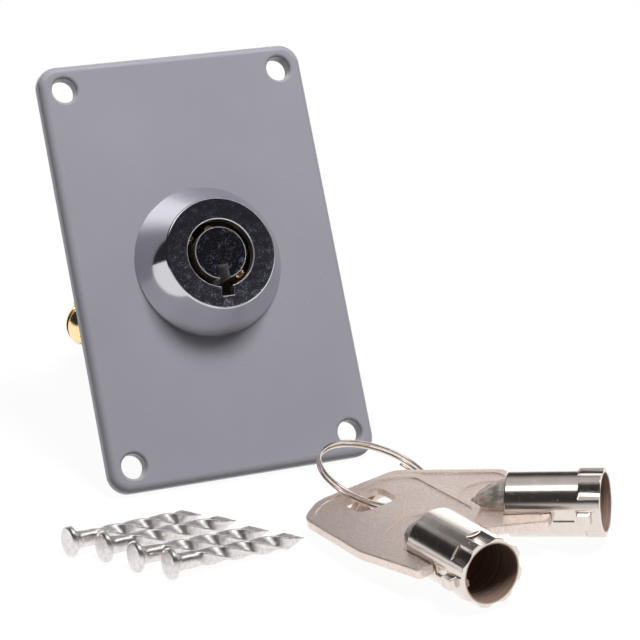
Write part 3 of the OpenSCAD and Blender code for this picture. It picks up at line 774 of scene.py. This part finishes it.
def housing_profile():
    """Closed section of bezel, lip, bore and threaded body, in the lock's frame."""
    s = settings("lock")
    t = settings("plate").thickness / MM
    top = t + s.rise / MM
    lip = top - s.lip / MM
    body, root = s.body / MM, (s.body - s.depth) / MM
    rear, pitch = -s.body_length / MM, s.pitch / MM
    base, face, mouth, bore = s.base / MM, s.face / MM, s.mouth / MM, s.bore / MM
    plain, chamfer, crest = 0.8, 0.3, 0.06
    profile = [(body + 0.1, t), (base - 0.12, t), (base, t + 0.1), (base - 0.06, t + 0.3),
               (face + 0.02, top - 0.28), (face - 0.07, top - 0.13), (face - 0.2, top - 0.03),
               (face - 0.34, top)]
    profile += soft_rim(mouth, top, 0.2)
    profile += [(mouth, lip), (bore, lip), (bore, rear + chamfer), (bore + chamfer, rear),
                (root - chamfer, rear), (root, rear + chamfer)]
    for i in range(math.floor((s.body_length / MM - plain) / pitch), 0, -1):
        start = -plain - (i - 1) * pitch
        profile += [(root, start - pitch + 0.1), (root + 0.1, start - pitch + 0.2),
                    (body - crest, start - 0.63 * pitch), (body, start - 0.52 * pitch),
                    (body - crest, start - 0.41 * pitch)]
    return profile + [(body, -plain), (body, t - 0.05)]


def make_housing():
    """Chrome bezel and threaded body with two flats, the keyway's notch and two screw holes."""
    s = settings("lock")
    t = settings("plate").thickness / MM
    top, rear, flat = t + s.rise / MM, -s.body_length / MM, s.flat / MM
    housing = lathe("lock_housing_finished", housing_profile(), 160, closed=True)
    cutters = [block("flat", (flat, -12, rear - 1), (12, 12, t)),
               block("flat", (-12, -12, rear - 1), (-flat, 12, t)),
               block("notch", (-NOTCH_HALF, -NOTCH_REACH, top - s.lip / MM - 0.5),
                     (NOTCH_HALF, 0, top + 1))]
    screw, circle, depth = 0.72, 8.0, 4
    for a in SCREW_TURNS:
        hole = lathe("screw", [(0, rear - 1), (screw, rear - 1), (screw, rear + depth),
                               (0, rear + depth)], 24)
        cutters.append(place(hole, turned(a, "Z") @ Matrix.Translation(mm(circle, 0, 0))))
    carve(housing, cutters)
    place(smooth(clean(housing), sharp=32), lock_place())
    finish(housing, lock_chrome(), "station", "chrome_housing", "lock_housing")


def make_pins():
    """Post and pins in the keyway, with their edges rounded."""
    finish(from_node("key_spindle", 0.16, 3), post_black(), "spindle",
           "black_spindle", "key_spindle")
    brass = metal_finish("pin_brass", (1.0, 0.76, 0.44), 0.2)
    finish(from_node("key_pins", 0.4, 4), brass, "spindle", "pin_brass", "key_pins")


def bow_outline(inset):
    """Outline of a bow in the key's frame, drawn in by an inset; lengths are in millimetres."""
    s = settings("keys")
    long, half, barrel = s.bow_length / MM, s.bow_width / MM / 2, s.barrel / MM
    i = inset
    points = [(-long + i, -5.3 + i / 2), (-long + i, 5.3 - i / 2),
              (-18.8 + i / 2, half - i), (-2.8 - i / 2, half - i), (-i, 6.3 - i / 2),
              (0.5 - i, barrel - 1), (0.5 - i, -barrel), (6.5 - i, -barrel - i / 4),
              (6.5 - i, -6.9 + i / 2), (-4.4, -half + i), (-18.8 + i / 2, -half + i)]
    return rounded(points, (1.6, 1.6, 1.6, 0.9, 0.4, 0.05, 0.05, 0.3, 0.6, 0.9, 1.6))


def make_bow(which):
    """Flat bow with a ring hole, a sunk panel inside its rim and a pocket round the neck."""
    s = settings("keys")
    t, barrel = s.bow_thickness / MM, s.barrel / MM
    hole = rounded([(-19.5, -3.2), (-14.0, -3.2), (-14.0, 3.2), (-19.5, 3.2)], (1.6,) * 4)
    bow = outline_plate(which + "_key_bow_finished", [bow_outline(0), hole], t, 0.2)
    pocket = rounded([(-7.8, -4.7), (3, -4.7), (3, 5.8), (-7.8, 5.8)], (4.2, 0.5, 0.5, 4.9))
    seat = rounded([(-4.6, -3), (3, -3), (3, 3), (-4.6, 3)], (2.6, 0.5, 0.5, 2.6))
    cutters = []
    for side in (1, -1):
        for outline, depth in ((bow_outline(s.rim / MM), 0.16), (pocket, 0.3)):
            panel = outline_plate("panel", [outline], 0.6, 0.06, 2)
            carve(panel, [prism("seat", seat, -2, 2)])
            rise = side * (t / 2 + 0.3 - depth)
            cutters.append(place(panel, Matrix.Translation(mm(0, 0, rise))))
    room = [(-0.02, -barrel - 0.14), (13, -barrel - 0.14), (13, barrel + 0.05),
            (-0.02, barrel + 0.05)]
    cutters.append(prism("barrel_room", room, -2, 2))
    gap = rounded([(-5.55, -1.0), (-4.4, -1.0), (-4.4, 1.0), (-5.55, 1.0)], (0.7, 0.2, 0.2, 0.7))
    cutters.append(prism("neck_gap", gap, -2, 2))
    for cutter in cutters:
        carve(bow, [cutter])
    place(smooth(clean(bow, 5e-7), sharp=38), key_place(which))
    finish(bow, satin_nickel(which), which + "_key", "key_nickel", which + "_key_bow")


def key_neck():
    """A collar and a bullet-shaped neck, flatter across the bow than along it."""
    loops, steps = [], 96
    for back, along, across in (
            (-0.9, 3.26, 3.26), (0.16, 3.26, 3.26), (0.26, 3.38, 3.38), (0.5, 3.38, 3.38),
            (0.6, 3.28, 3.28), (0.82, 3.28, 3.28), (0.97, 3.34, 3.34), (1.25, 3.38, 3.22),
            (1.95, 3.36, 2.95), (2.75, 3.18, 2.6), (3.45, 2.9, 2.2), (4.0, 2.55, 1.85),
            (4.55, 2.05, 1.4), (4.92, 1.5, 0.95), (5.12, 0.9, 0.5)):
        loops.append([(across * MM * math.cos(2 * math.pi * i / steps),
                       along * MM * math.sin(2 * math.pi * i / steps), -back * MM)
                      for i in range(steps)])
    return skin("neck", [[mm(0, 0, 0.9)]] + loops + [[mm(0, 0, -5.18)]])


def key_stud(radius):
    """Square stud on the barrel's side, near its open end."""
    outline = rounded([(-0.9, -0.95), (0.9, -0.95), (0.9, 1.25), (-0.9, 1.25)], (0.3,) * 4, 3)
    seat = Matrix.Translation(mm(0, -radius, 10.85)) @ turned(90, "X")
    return place(prism("stud", outline, -1, 1.1, 0.86), seat)


def key_cutters(radius, end):
    """The slot across the neck, the stepped window in the side and the cuts round the end."""
    cutters = [block("slot", (-0.74, -8, -6), (0.74, 8, 0)),
               block("window", (-0.75, -radius - 1, 6.6), (0.75, -radius + 0.42, 9.55)),
               block("ledge", (-1.15, -radius - 1, 6.15), (1.15, -radius + 0.13, 9.75))]
    mill, bite, soft = 3.0, 0.45, 0.15
    for i, cut in enumerate(KEY_CUTS):
        low = end - 2.4 - CUT_STEP * cut
        cutter = lathe("cut", [(0, low), (2.9, low), (mill, low + soft), (mill, end + 1),
                               (0, end + 1)], 64)
        shift = Matrix.Translation(mm(radius + mill - bite, 0, 0))
        cutters.append(place(cutter, pin_turn(i) @ shift))
    return cutters


def make_barrel(which):
    """Tubular barrel along Z with its neck, stud, window, cuts and inner nib."""
    s = settings("keys")
    r, bore, end = s.barrel / MM, s.bore / MM, s.barrel_length / MM
    profile = [(r - 1.6, 0.5), (r - 1.6, 0.0), (r - 0.22, 0.0), (r - 0.06, 0.06), (r, 0.24),
               (r, end - 0.1), (r - 0.03, end - 0.03), (r - 0.1, end), (bore + 0.08, end),
               (bore + 0.02, end - 0.02), (bore, end - 0.08), (bore, 2.1), (bore - 0.2, 2.0),
               (0, 2.0), (0, 0.5)]
    barrel = lathe(which + "_key_barrel_finished", profile, 160)
    carve(barrel, [key_neck()], "UNION")
    carve(barrel, [key_stud(r)], "UNION")
    for cutter in key_cutters(r, end):
        carve(barrel, [cutter])
    nib = block("nib", (-0.45, -bore - 0.3, end - 2), (0.45, -bore + 0.35, end - 0.02))
    carve(barrel, [nib], "UNION")
    place(smooth(clean(barrel, 5e-7), 0.05, 2, 38), key_place(which) @ turned(90, "Y"))
    finish(barrel, bright_nickel(which), which + "_key", "key_chrome", which + "_key_barrel")


def make_keys():
    for which in ("front", "rear"):
        make_bow(which)
        make_barrel(which)


# Repeated pieces


def geometry_tree(name, **inputs):
    """A geometry tree with named inputs; gives the tree and its inputs' sockets."""
    tree = bpy.data.node_groups.new(name, "GeometryNodeTree")
    tree.interface.new_socket("Geometry", in_out="INPUT", socket_type="NodeSocketGeometry")
    for label, kind in inputs.items():
        tree.interface.new_socket(label, in_out="INPUT", socket_type="NodeSocket" + kind)
    tree.interface.new_socket("Geometry", in_out="OUTPUT", socket_type="NodeSocketGeometry")
    return tree, new_node(tree, "NodeGroupInput").outputs


def end_tree(tree, shape, material):
    """Ends a tree in real geometry with its material."""
    real = new_node(tree, "GeometryNodeRealizeInstances", {}, {0: shape})
    paint = new_node(tree, "GeometryNodeSetMaterial", {}, {
        "Geometry": real.outputs[0], "Material": material})
    new_node(tree, "NodeGroupOutput", {}, {0: paint.outputs[0]})
    return tree


def coil_tree():
    """A wound wire: a spiral swept by a round profile, closed at both ends."""
    tree, given = geometry_tree("wound_wire", Radius="Float", Wire="Float", Turns="Float",
                                Rise="Float", Steps="Int", Sides="Int", Finish="Material")
    spiral = new_node(tree, "GeometryNodeCurveSpiral", {}, {
        "Start Radius": given["Radius"], "End Radius": given["Radius"],
        "Rotations": given["Turns"], "Height": given["Rise"], "Resolution": given["Steps"]})
    circle = new_node(tree, "GeometryNodeCurvePrimitiveCircle", {}, {
        "Resolution": given["Sides"], "Radius": given["Wire"]})
    sweep = new_node(tree, "GeometryNodeCurveToMesh", {}, {
        "Curve": spiral.outputs[0], "Profile Curve": circle.outputs[0], "Fill Caps": True})
    soft = new_node(tree, "GeometryNodeSetShadeSmooth", {}, {0: sweep.outputs[0]})
    return end_tree(tree, soft.outputs[0], given["Finish"])


def nails_tree():
    """Sets a nail down on each point, turned by the point's heading."""
    tree, given = geometry_tree("laid_nails", Nail="Object", Slope="Float", Finish="Material")
    shape = new_node(tree, "GeometryNodeObjectInfo", {}, {"Object": given["Nail"]})
    heading = new_node(tree, "GeometryNodeInputNamedAttribute", {}, {"Name": "heading"})
    turn = new_node(tree, "ShaderNodeCombineXYZ", {}, {
        "Y": given["Slope"], "Z": heading.outputs["Attribute"]})
    euler = new_node(tree, "FunctionNodeEulerToRotation", {}, {0: turn.outputs[0]})
    lay = new_node(tree, "GeometryNodeInstanceOnPoints", {}, {
        "Points": given["Geometry"], "Instance": shape.outputs["Geometry"],
        "Rotation": euler.outputs[0]})
    return end_tree(tree, lay.outputs[0], given["Finish"])


def grow(name, mesh, tree, values):
    """Runs a geometry tree on a mesh and keeps the result as a plain mesh."""
    obj = link(name, mesh)
    step = obj.modifiers.new("grow", "NODES")
    step.node_group = tree
    for item in tree.interface.items_tree:
        if item.in_out == "INPUT" and item.name in values:
            step[item.identifier] = values[item.name]
    return evaluated(obj)


def coil(name, material, radius, wire, turns, rise, steps, sides):
    """A wire wound round Z; radius, thickness and rise are in millimetres."""
    return grow(name, bpy.data.meshes.new(name), coil_tree(), {
        "Radius": radius * MM, "Wire": wire * MM / 2, "Turns": turns, "Rise": rise * MM,
        "Steps": steps, "Sides": sides, "Finish": material})


def make_ring():
    """Split ring: a wire wound a little over twice, its ends away from the bows."""
    s = settings("loose")
    material = metal_finish("ring_nickel", (0.76, 0.67, 0.61), 0.13, 0.06, 0.2, 0.001)
    wire = s.wire / MM
    rise = s.turns * wire * 1.3
    ring = coil("key_ring_finished", material, s.ring / MM - 0.02, wire, s.turns, rise, 96, 16)
    place(ring, ring_place() @ turned(76, "Z") @ Matrix.Translation(mm(0, 0, -rise / 2)))
    smooth(ring, 0.05, 2, 50)
    finish(ring, material, "ring", "ring_steel", "key_ring")


def make_springs():
    """Return spring behind the driver sleeve, and the seven pin springs inside it."""
    steel = metal_finish("spring_wire", (0.5, 0.5, 0.52), 0.25)
    sleeve_front, sleeve_length, clearance, rise = -4.45, 9.0, 0.65, 8.9
    rear = sleeve_front - sleeve_length - clearance - rise
    spring = coil("return_spring_finished", steel, 3.5, 0.9, 7, rise, 40, 12)
    place(spring, lock_place() @ Matrix.Translation(mm(0, 0, rear)))
    smooth(spring, sharp=50)
    finish(spring, steel, "station", "spring_steel", "return_spring")
    seat = Matrix.Translation(mm(4.32, 0, -12.05))
    small = [place(coil("pin_spring", steel, 0.65, 0.26, 6, 4.4, 16, 6),
                   lock_place() @ pin_turn(i) @ seat) for i in range(len(KEY_CUTS))]
    springs = smooth(join("pin_springs_finished", small), sharp=50)
    finish(springs, steel, "station", "spring_steel", "pin_springs")


def nail_mesh():
    """One nail along Z from its head, with the valleys of its shank marked for the painted shade.
    """
    s = settings("loose")
    sides, total = 64, s.nail / MM
    head, neck, ridge, valley = s.nail_head / MM / 2, 1.15, 1.17, 0.9
    lean = [abs(i * s.ridges / sides % 1 - 0.5) * 2 for i in range(sides)]
    square = [min(ridge, valley / math.cos(math.pi / s.ridges * u)) for u in lean]
    dip = [1 - u for u in lean]
    loops, marks = [[mm(0, 0, 0.04)]], [0.0]
    for r, z in ((head * 0.55, 0.02), (head - 0.46, 0.0), (head - 0.27, 0.06), (head - 0.09, 0.22),
                 (head, 0.46), (head, 0.56), (head - 0.1, 0.72), (head - 0.4, 0.86), (1.6, 1.04),
                 (1.3, 1.36), (neck + 0.04, 1.75), (neck, 2.1), (neck, 2.6), (neck, 3.2)):
        loops.append(round_loop([r] * sides, z))
        marks += [0.0] * sides
    start, stop, steps = 3.7, total - 2.9, 72
    for k in range(steps + 1):
        t = k / steps
        grown = min(1.0, t * 9)
        radii = [neck * (1 - grown) + grown * r for r in square]
        loops.append(round_loop(radii, start + (stop - start) * t, s.twist * t))
        marks += [grown * d ** 2 for d in dip]
    for k in range(1, 8):
        t = k / 8
        radii = [r * (1 - t) * (1 + 0.15 * t) for r in square]
        loops.append(round_loop(radii, stop + 2.7 * t, s.twist * (1 + 0.02 * t)))
        marks += [d * 0.4 * (1 - t) for d in dip]
    loops.append([(0, 0, total * MM)])
    marks.append(0.0)
    nail = skin("nail", loops)
    nail.data.attributes.new("valley", "FLOAT", "POINT").data.foreach_set("value", marks)
    return nail


def make_nails():
    """Four nails laid on their heads and points, from one pattern, by a geometry tree."""
    s = settings("loose")
    nail = smooth(nail_mesh(), sharp=60)
    head, shank, point = s.nail_head / MM / 2, 1.18, 2.9
    slope = math.asin((head - shank) / (s.nail / MM - point))
    height = s.nail_head / 2 * math.cos(slope)
    points = bpy.data.meshes.new("nail_places")
    points.from_pydata([(x * MM, y * MM, height) for x, y, heading in NAIL_PLACES], [], [])
    points.attributes.new("heading", "FLOAT", "POINT").data.foreach_set(
        "value", [math.radians(heading) for x, y, heading in NAIL_PLACES])
    material = nail_zinc()
    nails = grow("nails_finished", points, nails_tree(), {
        "Nail": nail, "Slope": math.pi / 2 + slope, "Finish": material})
    bpy.data.objects.remove(nail)
    finish(nails, material, "nail_set", "nail_zinc", "nails")


def make_fittings():
    """Pieces behind the plate and inside the lock."""
    brass = metal_finish("contact_brass", (0.74, 0.53, 0.24), 0.24)
    bright = metal_finish("screw_brass", (0.95, 0.74, 0.42), 0.13, 0.1, 0.3, 0.003)
    zinc = metal_finish("plated_steel", (0.66, 0.66, 0.68), 0.22, 0.14, 0.18, 0.004)
    steel = metal_finish("plain_steel", (0.5, 0.5, 0.52), 0.3)
    black = plain_plastic("moulded_black", (0.022, 0.021, 0.02), 0.34)
    pale = plain_plastic("pale_insulator", (0.62, 0.55, 0.4), 0.4)
    for node, material, slot, body, bevel in (
            ("lock_washer", zinc, "zinc_steel", "station", 0.08),
            ("lock_nut", zinc, "zinc_steel", "station", 0.14),
            ("driver_sleeve", brass, "brass", "station", 0.08),
            ("sleeve_pin", steel, "spring_steel", "station", 0.08),
            ("driver_pins", brass, "brass", "station", 0.12),
            ("switch_base", black, "black_plastic", "station", 0.12),
            ("base_screws", zinc, "zinc_steel", "station", 0.1),
            ("terminal_left", brass, "brass", "station", 0.08),
            ("terminal_right", brass, "brass", "station", 0.08),
            ("terminal_screw_left", bright, "screw_brass", "station", 0.09),
            ("terminal_screw_right", bright, "screw_brass", "station", 0.09),
            ("contact_rotor", pale, "pale_plastic", "spindle", 0.1),
            ("bridge_contact", brass, "brass", "spindle", 0.08),
            ("rotor_clip", steel, "spring_steel", "spindle", 0.06)):
        finish(from_node(node, bevel), material, body, slot, node)


# Studio


def studio_walls():
    """What polished metal sees: a long bright panel behind and above, and little elsewhere.

    Heights are angles over the floor in degrees, from the rear over the top to the front. A
    first mirror reflection sees the panel weaker than later ones, so the bows don't burn out.
    """
    f = Finish("studio_walls")
    x, y, z = f.axes(f.add("ShaderNodeVectorMath", {"operation": "NORMALIZE"},
                           {0: f.spot()}, output="Vector"))
    over = z.angle(y)
    across = x.band(-0.8, -0.65, 0.8, 0.95)
    behind = (1 - over.step(28, 38)) * x.band(-0.5, -0.34, 0.8, 0.95)
    haze = over.band(50, 66, 98, 106) * across * x.step(-0.6, -0.4)
    panel = over.band(86, 93, 98, 104) * across * x.step(-0.65, -0.45)
    glare = over.band(87, 91, 98, 101) * x.band(-0.55, -0.28, 0.0, 0.15)
    front = over.step(149, 163)
    again = f.ray("Glossy Depth").step(1, 2)
    strong = 1 - f.ray("Is Glossy Ray") * (1 - again)
    level = 0.03 + behind * 1.6 + haze * 0.55 + front * 0.8
    level = level + panel * (3.4 + strong * 3.1) + glare * strong * 21
    light = f.add("ShaderNodeCombineColor", {}, {0: level, 1: level * 0.985, 2: level * 0.98})
    return f.surface(f.add("ShaderNodeEmission", {}, {"Color": light, "Strength": 1.0}))


def floor_material():
    """White to the eye and in mirrors, over a grey that takes the object's shadow."""
    f = Finish("white_floor")
    mirrored = f.ray("Is Glossy Ray") + f.ray("Is Transmission Ray")
    paper = f.add("ShaderNodeBsdfDiffuse", {}, {"Color": (0.22, 0.217, 0.214, 1)})
    glow = f.add("ShaderNodeEmission", {}, {"Color": (1, 1, 1, 1), "Strength": 1.26})
    white = f.ray("Is Camera Ray") * 0.75 + mirrored * 0.86
    return f.surface(f.add("ShaderNodeMixShader", {}, {0: white, 1: paper, 2: glow}))


def make_dome(radius):
    """Half a sphere over the floor, open below."""
    steps = 48
    bm = bmesh.new()
    rows = []
    for e in range(0, 91, 5):
        r, z = radius * math.cos(math.radians(e)), radius * math.sin(math.radians(e))
        rows.append([bm.verts.new((r * math.cos(2 * math.pi * i / steps),
                                   r * math.sin(2 * math.pi * i / steps), z))
                     for i in range(steps if e < 90 else 1)])
    for low, high in zip(rows, rows[1:]):
        for i in range(steps):
            j = (i + 1) % steps
            bm.faces.new([low[i], low[j], high[j], high[i]] if len(high) > 1
                         else [low[i], low[j], high[0]])
    return from_bmesh("studio_walls", bm, outward=False)


def make_lamp(name, at, size, power):
    """Square lamp that looks at the origin and doesn't show in mirrors."""
    lamp = bpy.data.lights.new(name, "AREA")
    lamp.shape = "SQUARE"
    lamp.size = size
    lamp.energy = power
    obj = link(name, lamp)
    obj.visible_glossy = False
    obj.location = at
    obj.rotation_euler = (-Vector(at)).to_track_quat("-Z", "Y").to_euler()


def make_world(ambient):
    """White to the eye and in mirrors, and a faint even light for all else."""
    world = bpy.data.worlds.new("studio")
    bpy.context.scene.world = world
    f = Shader(world, "ShaderNodeOutputWorld")
    seen = f.ray("Is Camera Ray").larger(f.ray("Is Glossy Ray"))
    seen = seen.larger(f.ray("Is Transmission Ray"))
    f.surface(f.add("ShaderNodeBackground", {}, {"Strength": ambient + seen * (1 - ambient)}))


def make_camera():
    s = settings("studio")
    data = bpy.data.cameras.new("camera")
    data.sensor_width = 36
    data.lens = s.lens
    data.clip_start, data.clip_end = 0.01, 20
    camera = link("camera", data)
    camera.location = s.eye
    camera.rotation_euler = Vector(s.aim).to_track_quat("-Z", "Y").to_euler()
    bpy.context.scene.camera = camera


def make_stage():
    """Floor, studio walls for the mirrors, three lamps and the world."""
    s = settings("studio")
    floor = block("floor", (-3000, -3000, -10), (3000, 3000, -0.03))
    floor.data.materials.append(floor_material())
    dome = make_dome(1.6)
    dome.data.materials.append(studio_walls())
    for kind in ("camera", "diffuse", "shadow", "transmission", "volume_scatter"):
        setattr(dome, "visible_" + kind, False)
    make_lamp("key_lamp", (0.1, -0.19, 0.6), 0.2, s.key)
    make_lamp("rear_lamp", (-0.15, 0.3, 0.5), 0.4, 1.2)
    make_lamp("side_lamp", (0.5, -0.5, 0.45), 0.3, 0.35)
    make_world(s.sky)
    bpy.context.scene.view_settings.view_transform = "Standard"


# Add-on


class STATION_OT_studio(bpy.types.Operator):
    """Makes the camera, floor, lamps and world"""
    bl_idname = "station.studio"
    bl_label = "Studio"
    bl_options = {"REGISTER", "UNDO"}

    def execute(self, context):
        make_camera()
        make_stage()
        return {"FINISHED"}


class STATION_OT_plate(bpy.types.Operator):
    """Builds the mounting plate"""
    bl_idname = "station.plate"
    bl_label = "Plate"
    bl_options = {"REGISTER", "UNDO"}

    def execute(self, context):
        make_plate()
        return {"FINISHED"}


class STATION_OT_housing(bpy.types.Operator):
    """Builds the bezel and threaded body"""
    bl_idname = "station.housing"
    bl_label = "Lock housing"
    bl_options = {"REGISTER", "UNDO"}

    def execute(self, context):
        make_housing()
        return {"FINISHED"}


class STATION_OT_pins(bpy.types.Operator):
    """Finishes the post and its pins"""
    bl_idname = "station.pins"
    bl_label = "Post and pins"
    bl_options = {"REGISTER", "UNDO"}

    def execute(self, context):
        make_pins()
        return {"FINISHED"}


class STATION_OT_fittings(bpy.types.Operator):
    """Finishes the nut, base, contacts and screws"""
    bl_idname = "station.fittings"
    bl_label = "Fittings"
    bl_options = {"REGISTER", "UNDO"}

    def execute(self, context):
        make_fittings()
        return {"FINISHED"}


class STATION_OT_springs(bpy.types.Operator):
    """Winds the springs"""
    bl_idname = "station.springs"
    bl_label = "Springs"
    bl_options = {"REGISTER", "UNDO"}

    def execute(self, context):
        make_springs()
        return {"FINISHED"}


class STATION_OT_keys(bpy.types.Operator):
    """Builds both keys"""
    bl_idname = "station.keys"
    bl_label = "Keys"
    bl_options = {"REGISTER", "UNDO"}

    def execute(self, context):
        make_keys()
        return {"FINISHED"}


class STATION_OT_ring(bpy.types.Operator):
    """Winds the split ring"""
    bl_idname = "station.ring"
    bl_label = "Key ring"
    bl_options = {"REGISTER", "UNDO"}

    def execute(self, context):
        make_ring()
        return {"FINISHED"}


class STATION_OT_nails(bpy.types.Operator):
    """Lays the four nails"""
    bl_idname = "station.nails"
    bl_label = "Nails"
    bl_options = {"REGISTER", "UNDO"}

    def execute(self, context):
        make_nails()
        return {"FINISHED"}


OPERATORS = (STATION_OT_studio, STATION_OT_plate, STATION_OT_housing,
             STATION_OT_pins, STATION_OT_fittings, STATION_OT_springs,
             STATION_OT_keys, STATION_OT_ring, STATION_OT_nails)


class STATION_PT_panel(bpy.types.Panel):
    """Sizes, colours and the operators that build the pieces"""
    bl_label = "Key switch"
    bl_idname = "STATION_PT_panel"
    bl_space_type = "VIEW_3D"
    bl_region_type = "UI"
    bl_category = "Key switch"

    def draw(self, context):
        for group in SETTINGS:
            box = self.layout.box()
            values = getattr(context.scene, "station_" + group)
            for name in values.bl_rna.properties.keys():
                if name not in ("rna_type", "name"):
                    box.prop(values, name)
        for item in OPERATORS:
            self.layout.operator(item.bl_idname)


def register():
    for cls in (*SETTINGS.values(), *OPERATORS, STATION_PT_panel):
        bpy.utils.register_class(cls)
    for group, cls in SETTINGS.items():
        setattr(bpy.types.Scene, "station_" + group, PointerProperty(type=cls))


def unregister():
    for group in SETTINGS:
        delattr(bpy.types.Scene, "station_" + group)
    for cls in reversed((*SETTINGS.values(), *OPERATORS, STATION_PT_panel)):
        bpy.utils.unregister_class(cls)


def main():
    register()
    for item in OPERATORS:
        getattr(bpy.ops.station, item.bl_idname.split(".")[1])()


if __name__ == "__main__":
    main()
